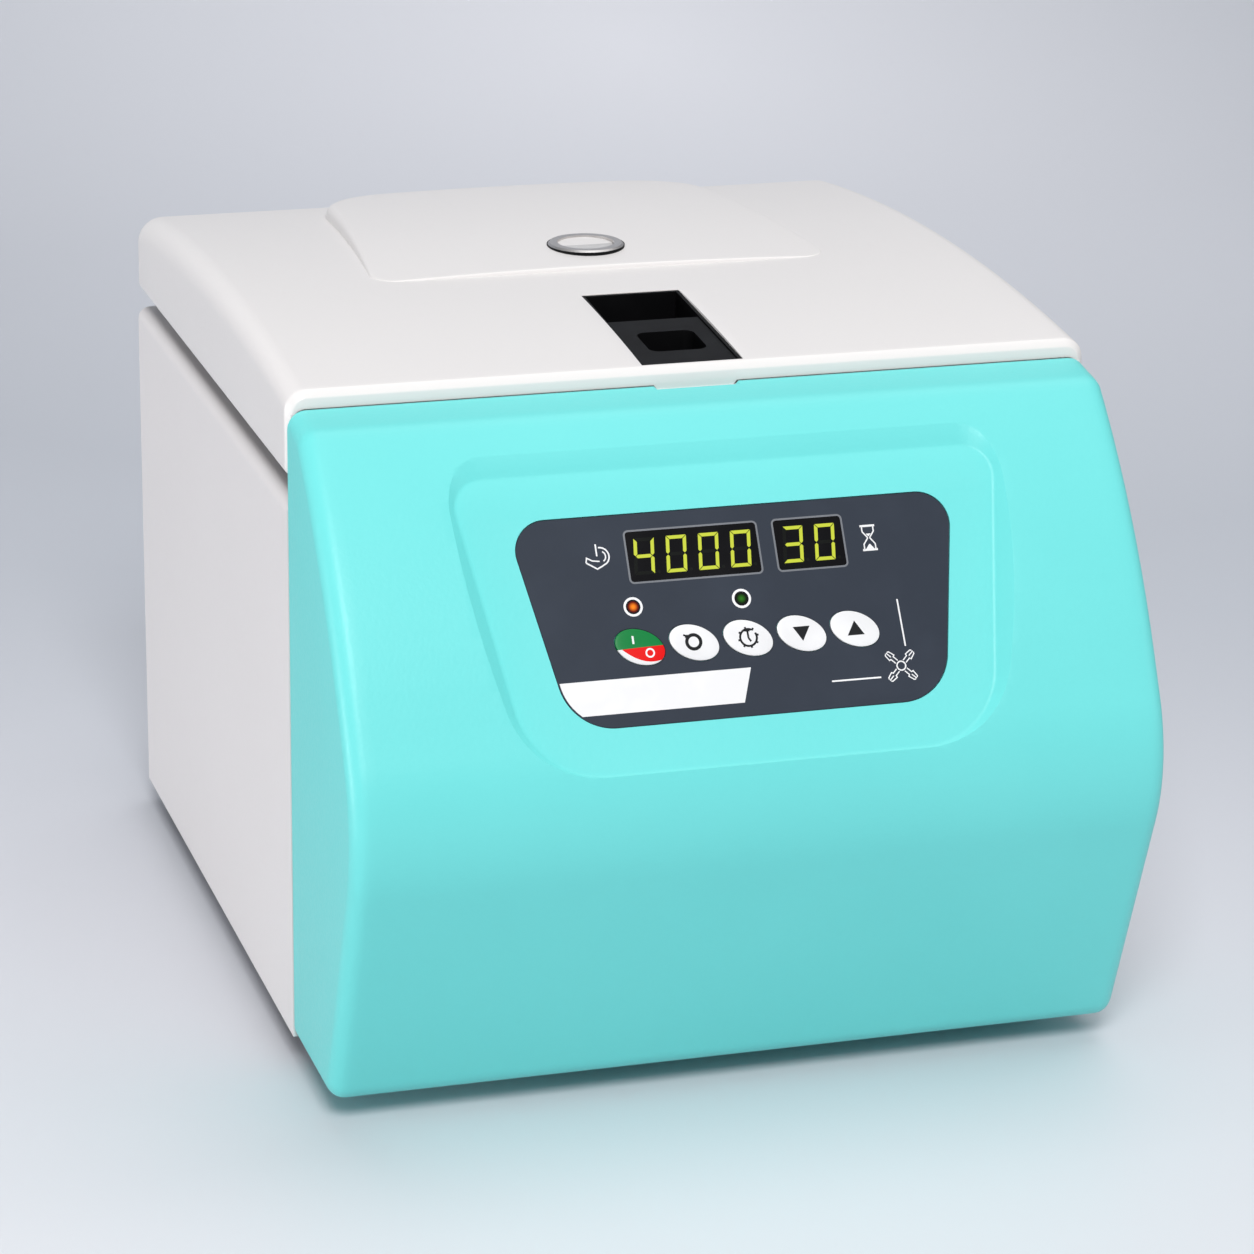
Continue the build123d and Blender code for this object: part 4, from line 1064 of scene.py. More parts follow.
# ---------------- front cover
@dataclass
class CoverMoulding:
    """Bulged front cover with its sunk keypad recess, panel seat and windows.

    Sizes are in millimetres and degrees, and distances out are measured from the cabinet's front.
    """

    # Outside: widths, heights and how far each part stands out.
    half_width: float = 157.2
    cheek: float = 7.0
    top: float = 261.7
    bottom: float = 10.0
    joint: float = 0.7
    nose: float = 100.0
    nose_z: float = 130.0
    nose_radius: float = 63.6
    rise: float = 26.4
    fall: float = 21.0
    upper_run: float = 43.6
    brow_out: float = 20.0
    brow_drop: float = 3.0
    brow_radius: float = 9.0
    face_radius: float = 60.0
    shoulder_radius: float = 20.0
    toe_radius: float = 10.0
    # Recess: its walls lean by the draft, more under the brow, where its floor bends back.
    draft: float = 44.0
    brow_draft: float = 58.5
    bend: float = 0.0105
    bend_from: float = 100.5
    bend_planes: int = 28
    bend_step: float = 1.5
    fillet: float = 2.5
    foot_steps: int = 5
    cut: float = 12.0
    rim_round: float = 0.8
    rim_height: float = 0.8
    rim_width: float = 0.9
    # Inside: the wall, and how far its skin lies under the recess.
    wall: float = 3.0
    sink: float = 4.0
    blend: float = 3.2
    under_across: float = 135.0
    under_up: Point2 = (-30.0, 150.0)
    # Openings.
    seat: float = 1.8
    gap: float = 0.3
    window: Point2 = (-12.0, -1.0)
    lamp_hole: float = 2.5
    tab: float = 30.0
    tab_low: float = 1.8
    tab_high: float = 2.0
    tab_slant: float = 3.6
    tab_deep: float = 3.6
    # Spacing of the mesh, close beside the recess and at the top and bottom.
    chord: float = 0.8
    fine: float = 2.0
    coarse: float = 4.0
    inner_fine: float = 3.0
    inner_coarse: float = 8.0
    column: float = 4.0
    close_up: Point2 = (-14.0, 134.0)
    open_z: Point2 = (24.0, 256.0)
    field: Field = dc_field(default_factory=lambda: Field(RECESS_CORNERS))

    def profile(self) -> list[Point2]:
        """Side outline from the top of the joint plane round the nose to its bottom.

        Returns:
            Points as (y, z).
        """
        rise, fall = math.radians(self.rise), math.radians(self.fall)
        spread = math.cos((rise - fall) / 2) / math.cos((rise + fall) / 2)
        reach = self.nose + self.nose_radius * (spread - 1)
        shoulder = Vector((reach - self.upper_run * math.sin(rise),
                           self.nose_z + self.upper_run * math.cos(rise)))
        toe = (reach - (self.nose_z - self.bottom) * math.tan(fall), self.bottom)
        brow = Vector((self.brow_out, self.top - self.brow_drop))
        chord = brow - shoulder
        bend = math.atan2(-chord.x, chord.y) - rise
        radius = chord.length / (2 * math.sin(bend))
        centre = shoulder - Vector((math.cos(rise), math.sin(rise))) * radius
        arc = [centre + Vector((math.cos(rise + 2 * bend * t), math.sin(rise + 2 * bend * t))) * radius
               for t in (0.9, 0.8, 0.7, 0.6, 0.5, 0.4, 0.3, 0.2, 0.1)]
        corners = [Corner(self.joint, self.top), Corner(*brow, self.brow_radius)]
        corners += [Corner(*p, self.face_radius) for p in arc]
        corners += [Corner(*shoulder, self.shoulder_radius), Corner(reach, self.nose_z, self.nose_radius),
                    Corner(*toe, self.toe_radius), Corner(self.joint, self.bottom)]
        return [(FRONT_Y - out, z) for out, z in rounded(corners, self.chord, closed=False)]

    def rows(self, fine: float, coarse: float) -> list[tuple[float, float, float, float]]:
        """The outline at its working spacing.

        Args:
            fine: spacing beside the recess and at both ends.
            coarse: spacing elsewhere.

        Returns:
            Each place as (y, z, outward y, outward z).
        """
        line = [Vector(p) for p in self.profile()]
        picked, need = [line[0]], 0.0
        for start, end in zip(line, line[1:]):
            step = (end - start).length
            while step > 1e-9 and need <= step:
                if need > 0:
                    picked.append(start + (end - start) * need / step)
                up, _ = RECESS.local(*picked[-1])
                beside = self.close_up[0] < up < self.close_up[1]
                need += coarse if self.open_z[0] <= picked[-1].y <= self.open_z[1] and not beside else fine
            need -= step
        if (picked[-1] - line[-1]).length < fine / 2:
            picked.pop()
        picked.append(line[-1])
        result = []
        for i, here in enumerate(picked):
            along = picked[min(i + 1, len(picked) - 1)] - picked[max(i - 1, 0)]
            out = Vector((along.y, -along.x)).normalized()
            if i in (0, len(picked) - 1):
                out = Vector((0.0, 1.0 if i == 0 else -1.0))
            result.append((here.x, here.y, out.x, out.y))
        return result

    def columns(self) -> list[float]:
        """Stations from one cheek to the other.

        Returns:
            Places across the machine.
        """
        flat = self.half_width - self.cheek
        right = stations([(0, 0), (flat, self.column)])
        right += [flat + self.cheek * math.sin(math.radians(turn)) for turn in (15, 30, 45, 60, 75, 90)]
        return [-x for x in reversed(right[1:])] + right

    def skin(self, inset: float, sink: float, fine: float, coarse: float) -> list[list[Vector]]:
        """Rows of points of one skin.

        Args:
            inset: how far it lies inside the outside outline.
            sink: how far the recess lies under its outside face, or 0 for no recess.
            fine: spacing of rows beside the recess.
            coarse: spacing of rows elsewhere.

        Returns:
            Rows of points in metres.
        """
        flat, radius = self.half_width - self.cheek, self.cheek - inset
        skin = []
        for y, z, out_y, out_z in self.rows(fine, coarse):
            row = []
            for station in self.columns():
                over = max(0.0, abs(station) - flat) * radius / self.cheek
                depth = inset + radius - math.sqrt(max(0.0, radius * radius - over * over))
                across = math.copysign(flat + over, station) if over else station
                row.append(self.sunk(across, y - out_y * depth, z - out_z * depth, sink))
            skin.append(row)
        return skin

    def sunk(self, across: float, y: float, z: float, sink: float) -> Vector:
        """Pushes a point of a skin down to the recess where it lies over it.

        Args:
            across: the point's place across the machine.
            y: its place along the machine.
            z: its height.
            sink: how far the recess lies under its outside face, or 0 for no recess.

        Returns:
            The point in metres.
        """
        up, out = RECESS.local(y, z)
        if sink and abs(across) < self.under_across and self.under_up[0] < up < self.under_up[1]:
            apart = self.field.distance(across, up) - sink
            ramp = -smooth_min(-apart, 0.0, self.blend) / math.tan(math.radians(self.draft)) - sink
            out = min(out, smooth_min(out, ramp, self.blend))
            return RECESS.at(across, up, out)
        return Vector((across, y, z)) * MM

    def recess(self) -> bpy.types.Object:
        """Cutter for the keypad recess: flat floor, rounded foot and slanting walls.

        Returns:
            The closed cutter.
        """
        edge = rounded(RECESS_CORNERS, 1.0, True, 3.0)
        rings = []
        for level in range(self.foot_steps + 2):
            ring = []
            for here, out in zip(edge, outward(edge)):
                slant = math.pi / 2 - self.lean(out.y)
                turn = slant * min(level, self.foot_steps) / self.foot_steps
                grow = self.fillet * (math.sin(turn) - math.tan(slant / 2))
                height = self.fillet * (1 - math.cos(turn))
                if level > self.foot_steps:
                    grow, height = grow + self.cut * math.tan(self.lean(out.y)), height + self.cut
                ring.append(RECESS.at(*(Vector(here) + out * grow), height))
            rings.append(ring)
        return self.bent(loose_object("cover_recess", *loft(rings)))

    def bent(self, piece: bpy.types.Object) -> bpy.types.Object:
        """Bends a cutter's upper part back, so that its floor follows the cover's brow.

        Args:
            piece: the cutter.

        Returns:
            The same cutter, sliced across the bend.
        """
        work = bmesh.new()
        work.from_mesh(piece.data)
        uphill = RECESS.at(0.0, 1.0) - RECESS.at(0.0, 0.0)
        for k in range(self.bend_planes):
            here = RECESS.at(0.0, self.bend_from + self.bend_step * k)
            bmesh.ops.bisect_plane(work, geom=work.verts[:] + work.edges[:] + work.faces[:], plane_co=here,
                                   plane_no=uphill, dist=1e-7)
        for vert in work.verts:
            up, _ = RECESS.local(vert.co.y / MM, vert.co.z / MM)
            vert.co -= RECESS.normal() * self.dip(up) * MM
        bmesh.ops.triangulate(work, faces=work.faces[:])
        work.to_mesh(piece.data)
        work.free()
        return recalculate(piece)

    def dip(self, up: float) -> float:
        """How far the recess's floor lies under its plane."""
        return self.bend * max(0.0, up - self.bend_from) ** 2

    def lean(self, facing: float) -> float:
        """Tilt of the recess's wall from the floor's normal, wider under the brow, in radians."""
        share = smooth_step(max(0.0, facing))
        return math.radians(self.draft + (self.brow_draft - self.draft) * share)

    def on_rim(self, first: Vector, second: Vector) -> bool:
        """Whether an edge runs round the recess's rim.

        Args:
            first: one end, in millimetres.
            second: the other end.

        Returns:
            True where both ends lie on the wall's top.
        """
        for end in (first, second):
            up, out = RECESS.local(end.y, end.z)
            out += self.dip(up)
            facing = self.field.distance(end.x, up + 0.5) - self.field.distance(end.x, up - 0.5)
            wall = self.field.distance(end.x, up) - out * math.tan(self.lean(facing))
            if out < self.rim_height or abs(wall) > self.rim_width:
                return False
        return True

    def tools(self) -> bpy.types.Object:
        """One closed cutter for the panel seat, the windows, the lamp holes and the tab's notch.

        Returns:
            The cutter.
        """
        seat = rounded(offset_corners(PANEL_CORNERS, self.gap), 1.0)
        parts = [prism(seat, RECESS.at, -self.seat, 30)]
        for x, width, _ in DISPLAYS.values():
            box = rectangle(x, DISPLAY_V, width / 2 + self.gap, DISPLAY_HEIGHT / 2 + self.gap)
            parts.append(prism(box, RECESS.at, *self.window))
        parts += [prism(circle(x, v, self.lamp_hole, 24), RECESS.at, *self.window) for x, v in LAMPS_AT]
        low, high = self.top - self.tab_low, self.top + self.tab_high
        near, far = self.tab / 2, self.tab / 2 + self.tab_slant
        notch = [(-near, low), (near, low), (far, high), (-far, high)]
        parts.append(prism(notch, Slope(FRONT_Y, 0.0, 0.0).at, -1, self.tab_deep))
        return loose_object("cover_cutter", *joined(parts))

    def build(self) -> None:
        """Makes the cover in place of its node."""
        outer = self.skin(0.0, 0.0, self.fine, self.coarse)
        inner = self.skin(self.wall, self.sink, self.inner_fine, self.inner_coarse)
        piece = recalculate(loose_object("cover_moulding", *shell_between(outer, inner)))
        combine(piece, self.recess(), Combine.CUT)
        soften(piece, self.on_rim, self.rim_round, 3)
        combine(piece, self.tools(), Combine.CUT)
        finish_piece(piece, Finish.COVER, "root", 28.0)
        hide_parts("front_cover")


# ---------------- lid
@dataclass
class LidMoulding:
    """Crowned lid with its raised panel, sight-glass seat, latch cut-out, hinge notches and front tab.

    Sizes are in millimetres and degrees. An arc is given by its centre's place and height and its radius.
    """

    # Shell.
    bottom: float = 236.5
    wall: float = 3.0
    foot: float = 2.4
    inside_foot: float = 0.3
    inside_run: float = 6.0
    shoulder_front: float = 8.0
    shoulder_rear: float = 11.0
    rear_radius: float = 10.0
    lip_y: float = -99.7
    front_y: float = -97.0
    lip_low: float = 261.85
    rim: float = 1.7
    row: float = 5.0
    crown_arc: tuple[float, float, float] = arc_through((-97.0, 268.7), (10.0, 276.0), (198.0, 266.0))
    # Raised panel: its rim is crisp at the front and soft at the rear.
    panel_arc: tuple[float, float, float] = arc_through((22.0, 278.0), (49.0, 279.592), (178.0, 275.2))
    panel_crown: float = 2600.0
    panel_top: float = 280.6
    panel_draft: float = 15.0
    panel_sink: float = 2.2
    panel_y: Point2 = (22.0, 178.0)
    panel_half: Point2 = (94.0, 79.0)
    panel_round: Point2 = (9.0, 30.0)
    rim_front: float = 1.1
    rim_growth: float = 3.4
    # Openings.
    pocket_half: float = 20.0
    pocket: Point2 = (1.0, 84.0)
    cut_round: float = 0.45
    bezel_radius: float = 15.5
    bezel_seat: float = 0.8
    stem_radius: float = 13.2
    stem_deep: float = 14.0
    hinge_x: float = 100.0
    hinge_side: Point2 = (5.0, 9.0)
    hinge_rise: float = 15.5
    # Front tab, as places beside its middle and heights over the lip's lower edge.
    tab: tuple[Point2, ...] = ((-15.0, -1.8), (15.0, -1.8), (16.8, 0.4), (-16.8, 0.4))
    tab_thick: float = 2.7

    def crown(self, y: float) -> float:
        """Height of the lid's crown at one place along the machine."""
        centre, low, radius = self.crown_arc
        return low + math.sqrt(radius**2 - (y - centre) ** 2)

    def raised(self, x: float, y: float) -> float:
        """Height of the raised panel's top.

        Args:
            x: place across the machine.
            y: place along it.

        Returns:
            The height.
        """
        centre, low, radius = self.panel_arc
        sag = self.panel_crown - math.sqrt(self.panel_crown**2 - x * x)
        return low + math.sqrt((radius - sag) ** 2 - (y - centre) ** 2)

    def shoulder(self, y: float) -> float:
        """Radius of the long shoulders, which grows towards the rear."""
        share = (y - self.front_y) / (REAR_Y - self.front_y)
        return self.shoulder_front + (self.shoulder_rear - self.shoulder_front) * max(0.0, share)

    def section(self, y: float, inset: float, wall: float = 0.0) -> list[Vector]:
        """One closed section across the machine.

        Args:
            y: place along the machine.
            inset: how far the section is drawn in at its top and sides.
            wall: wall to leave outside it; an inside runs on below the lid's foot.

        Returns:
            Points in metres, clockwise from the middle of the top.
        """
        drawn = inset + wall
        radius = max(self.shoulder(y) - drawn, 0.5)
        half, top = HALF_WIDTH - drawn, self.crown(y) - drawn
        foot, low = (self.inside_foot, self.bottom - self.inside_run) if wall else (self.foot, self.bottom)
        quarter = [math.radians(a) for a in range(0, 91, 10)]
        right = [((half - radius) * k / 24, top) for k in range(24)]
        right += [(half - radius * (1 - math.sin(a)), top - radius * (1 - math.cos(a))) for a in quarter]
        right += [(half, top - radius + (low + foot - top + radius) * k / 4) for k in (1, 2, 3)]
        right += [(half - foot * (1 - math.cos(a)), low + foot * (1 - math.sin(a))) for a in quarter]
        right += [((half - foot) * k / 6, low) for k in (5, 4, 3, 2, 1, 0)]
        ring = right + [(-x, z) for x, z in reversed(right[1:-1])]
        return [Vector((x, y, z)) * MM for x, z in ring]

    def body(self, name: str, wall: float) -> bpy.types.Object:
        """The lid's outside with its slanted front band, or its plain inside.

        Args:
            name: name of the mesh.
            wall: 0 for the outside, or the wall that the inside leaves.

        Returns:
            A closed mesh.
        """
        lip, front = self.lip_y, self.front_y
        # Each row: place along the machine, and how far the section is drawn in there.
        band = [(lip, 2.9), (lip + 0.1, 2.5), (lip + 0.35, 2.2), (front - 0.35, 0.25), (front, 0.06),
                (front + 0.6, 0.0)]
        radius = self.rear_radius - wall
        end = REAR_Y - self.rear_radius
        rows = [(front + wall, 0.0)] if wall else band
        rows += [(y, 0.0) for y in stations([(front + self.row, 0), (end, self.row)])]
        rows += [(end + radius * math.sin(math.radians(a)), radius * (1 - math.cos(math.radians(a))))
                 for a in (12, 24, 36, 48, 60, 72, 82, 90)]
        return recalculate(loose_object(name, *loft([self.section(y, inset, wall) for y, inset in rows])))

    def rebate(self) -> bpy.types.Object:
        """Cutter that leaves the front band as a rim over and beside the cover's joint.

        Returns:
            The closed cutter.
        """
        side = HALF_WIDTH - self.rim
        outline = rounded([Corner(-side, self.bottom - 4), Corner(side, self.bottom - 4),
                           Corner(side, self.lip_low, 6), Corner(-side, self.lip_low, 6)], 0.8)
        upright = Slope(self.lip_y, 0.0, 0.0)
        return loose_object("lid_rebate", *prism(outline, upright.at, self.lip_y - self.front_y, 2.0))

    def edge_round(self, y: float) -> float:
        """Radius of the raised panel's rim."""
        front, rear = self.panel_y
        return self.rim_front + self.rim_growth * smooth_step((y - front) / (rear - front))

    def raised_panel(self) -> bpy.types.Object:
        """Solid of the raised panel: slanted walls, a rounded rim and a crowned top.

        Returns:
            The closed mesh.
        """
        (front, rear), (wide, narrow), (crisp, soft) = self.panel_y, self.panel_half, self.panel_round
        corners = [Corner(-wide, front, crisp), Corner(wide, front, crisp), Corner(narrow, rear, soft),
                   Corner(-narrow, rear, soft)]
        edge = rounded(corners, 1.4, True, 6.0)
        slope = math.tan(math.radians(self.panel_draft))
        rings: list[list[Vector]] = [[], []]
        for here, out in zip(edge, outward(edge)):
            rim = self.raised(*here) - self.edge_round(here[1])
            for ring, height in zip(rings, (self.crown(here[1]) - self.panel_sink, rim)):
                spot = Vector(here) + out * (self.panel_top - height) * slope
                ring.append(Vector((*spot, height)))
        for turn in map(math.radians, (25, 50, 75, 90)):
            ring = []
            for here, out in zip(edge, outward(edge)):
                top, size = self.raised(*here), self.edge_round(here[1])
                base = Vector(here) + out * (self.panel_top - top + size) * slope
                spot = base - out * size * (1 - math.cos(turn))
                ring.append(Vector((*spot, top - size * (1 - math.sin(turn)))))
            rings.append(ring)
        centre = Vector((0.0, (front + rear) / 2))
        for share in (0.97, 0.9, 0.8, 0.7, 0.6, 0.5, 0.4, 0.3, 0.2, 0.1):
            spots = [centre + (spot.xy - centre) * share for spot in rings[5]]
            rings.append([Vector((*spot, self.raised(*spot))) for spot in spots])
        points, faces = domed(rings, Vector((*centre, self.raised(*centre))))
        return recalculate(loose_object("raised_panel", [p * MM for p in points], faces))

    def tools(self) -> bpy.types.Object:
        """One closed cutter for the latch cut-out, the bezel's seat and the hinge notches.

        Returns:
            The cutter.
        """
        top = self.raised(0.0, ROTOR_Y)
        front, rear = self.pocket
        box = rectangle(0.0, (front + rear) / 2, self.pocket_half, (rear - front) / 2)
        parts = [prism(box, LATCH.at, -19, 8)]
        for radius, low, high in ((self.bezel_radius, top - self.bezel_seat, top + 6),
                                  (self.stem_radius, top - self.stem_deep, top)):
            parts.append(prism(circle(0.0, ROTOR_Y, radius, 64), LEVEL.at, low, high))
        near, far = self.hinge_x - self.hinge_side[0], self.hinge_x + self.hinge_side[1]
        for low, high in ((-far, -near), (near, far)):
            notch = [(low, REAR_Y - 6), (high, REAR_Y - 6), (high, REAR_Y + 2), (low, REAR_Y + 2)]
            parts.append(prism(notch, LEVEL.at, self.bottom - 1, self.bottom + self.hinge_rise))
        return loose_object("lid_cutter", *joined(parts))

    def build(self) -> None:
        """Makes the lid in place of its node."""
        piece = self.body("lid_moulding", 0.0)
        combine(piece, self.rebate(), Combine.CUT)
        combine(piece, self.raised_panel(), Combine.FUSE)
        combine(piece, self.body("lid_inside", self.wall), Combine.CUT)
        combine(piece, self.tools(), Combine.CUT)
        soften(piece, self.on_cut, self.cut_round)
        outline = [(x, self.lip_low + z) for x, z in self.tab]
        upright = Slope(self.lip_y, 0.0, 0.0)
        combine(piece, loose_object("tab", *prism(outline, upright.at, -self.tab_thick, 0.0)), Combine.FUSE)
        finish_piece(piece, Finish.LID, "lid", 32.0)
        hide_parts("lid_shell")

    def on_cut(self, first: Vector, second: Vector) -> bool:
        """Whether an edge runs round the latch cut-out's rim.

        Args:
            first: one end, in millimetres.
            second: the other end.

        Returns:
            True where both ends lie on the cut-out's sides or its rear.
        """
        side, rear, slack = self.pocket_half, self.pocket[1], 0.02
        for end in (first, second):
            up, out = LATCH.local(end.y, end.z)
            beside = abs(abs(end.x) - side) < slack and 2 < up < rear + slack
            behind = abs(up - rear) < slack and abs(end.x) < side + slack
            if not (out > -1 and (beside or behind)):
                return False
        return True


def bezel_gasket() -> None:
    """Makes the thin black gasket that shows round the sight glass's bezel."""
    lid = LidMoulding()
    top = lid.raised(0.0, ROTOR_Y)
    ink = InkLayer(LEVEL.at, top - lid.bezel_seat, top + 0.5)
    ink.ring(0.0, ROTOR_Y, lid.bezel_radius + 0.16, 0.3, 72)
    ink.piece("bezel_gasket", Finish.BLACK, "lid")


# ---------------- keypad
class InkLayer:
    """Thin printed marks laid on a face."""

    def __init__(self, place: Place, low: float, high: float) -> None:
        """Starts an empty layer.

        Args:
            place: turns (across, up, out) into a point in metres.
            low: height of the marks' back.
            high: height of the marks' face.
        """
        self.place, self.low, self.high = place, low, high
        self.parts: list[Skin] = []

    def patch(self, outline: Sequence[Point2]) -> None:
        """Adds a filled shape."""
        self.parts.append(prism(outline, self.place, self.low, self.high))

    def line(self, path: Sequence[Point2], width: float, closed: bool = False) -> None:
        """Adds a stroke.

        Args:
            path: its middle line.
            width: its width.
            closed: whether the last point joins the first.
        """
        edges = ribbon(path, width, closed)
        count = len(edges)
        points = [self.place(a, b, out) for out in (self.low, self.high) for pair in edges for a, b in pair]
        top = 2 * count
        faces = []
        for i in range(count if closed else count - 1):
            j = (i + 1) % count
            left, right, next_left, next_right = 2 * i, 2 * i + 1, 2 * j, 2 * j + 1
            faces += [[top + left, top + right, top + next_right, top + next_left],
                      [left, next_left, next_right, right],
                      [left, top + left, top + next_left, next_left],
                      [right, next_right, top + next_right, top + right]]
        if not closed:
            end = 2 * (count - 1)
            faces += [[0, 1, top + 1, top], [end, top + end, top + end + 1, end + 1]]
        self.parts.append((points, faces))

    def ring(self, a: float, b: float, radius: float, width: float, count: int = 40) -> None:
        """Adds a circular stroke."""
        self.line(circle(a, b, radius, count), width, True)

    def sign(self, strokes: Iterable[Stroke], at: Point2) -> None:
        """Adds a sign.

        Args:
            strokes: its strokes about its middle; a width of 0 fills the outline instead.
            at: the middle's place.
        """
        for path, width in strokes:
            moved = [(at[0] + a, at[1] + b) for a, b in path]
            if width:
                self.line(moved, width)
            else:
                self.patch(moved)

    def piece(self, name: str, finish: Finish, body: str) -> None:
        """Turns the layer into a piece."""
        made = recalculate(loose_object(name, *joined(self.parts)))
        finish_piece(made, finish, body, None)


def panel_ink(height: float) -> InkLayer:
    """An empty layer on the keypad panel, with marks of a height."""
    return InkLayer(RECESS.at, PANEL_FACE - INK_ROOT, PANEL_FACE + height)


def arc_path(a: float, b: float, radius: float, start: float, end: float, count: int = 20) -> list[Point2]:
    """Points along an arc between two angles in degrees."""
    angles = [math.radians(start + (end - start) * k / count) for k in range(count + 1)]
    return [(a + radius * math.cos(t), b + radius * math.sin(t)) for t in angles]


@dataclass
class DisplayDigits:
    """Seven-segment figures on the two displays, lit and unlit, with their decimal points."""

    height: float = 13.9
    width: float = 7.8
    stroke: float = 1.3
    pitch: float = 12.4
    slant: float = 0.105
    gap: float = 0.18
    shift: float = -0.3
    # Decimal point: place beside the figure, height over its foot, radius.
    point: tuple[float, float, float] = (0.9, 0.7, 0.65)
    lit: dict[str, str] = dc_field(default_factory=lambda: {"0": "abcdef", "3": "abcdg", "4": "bcfg"})

    def segment(self, name: str) -> list[Point2]:
        """Outline of one segment about the figure's middle.

        Args:
            name: the segment's letter, a to g.

        Returns:
            Its corners.
        """
        w, h, s, g = self.width / 2, self.height / 2, self.stroke, self.gap
        half = s / 2
        if name == "g":
            run = w - half - g
            return [(-run, 0), (-run + half, -half), (run - half, -half), (run, 0), (run - half, half),
                    (-run + half, half)]
        if name in "ad":
            level, outer = (h - half, half) if name == "a" else (half - h, -half)
            far, near, edge, inside = w - g, w - s - g, level + outer, level - outer
            shape = [(-far, edge), (far, edge), (near, inside), (-near, inside)]
            return shape if name == "d" else shape[::-1]
        side = 1 if name in "bc" else -1
        up = 1 if name in "bf" else -1
        near, far = up * g, up * (h - g)
        outer, inner = side * w, side * (w - s)
        return [(outer, far), (outer, near + up * half), (side * (w - half), near), (inner, near + up * half),
                (inner, far - up * s)]

    def build(self) -> None:
        """Makes the lit and the unlit segments."""
        lit, unlit = panel_ink(0.05), panel_ink(0.03)
        beside, above, radius = self.point
        for x, _, figures in DISPLAYS.values():
            for index, figure in enumerate(figures):
                middle = x + (index - (len(figures) - 1) / 2) * self.pitch + self.shift
                for name in "abcdefg":
                    layer = lit if name in self.lit[figure] else unlit
                    layer.patch([(middle + a + b * self.slant, DISPLAY_V + b) for a, b in self.segment(name)])
                spot = middle + self.width / 2 + beside, DISPLAY_V - self.height / 2 + above
                unlit.patch(circle(*spot, radius, 16))
        lit.piece("lit_segments", Finish.LIT, "root")
        unlit.piece("unlit_segments", Finish.UNLIT, "root")


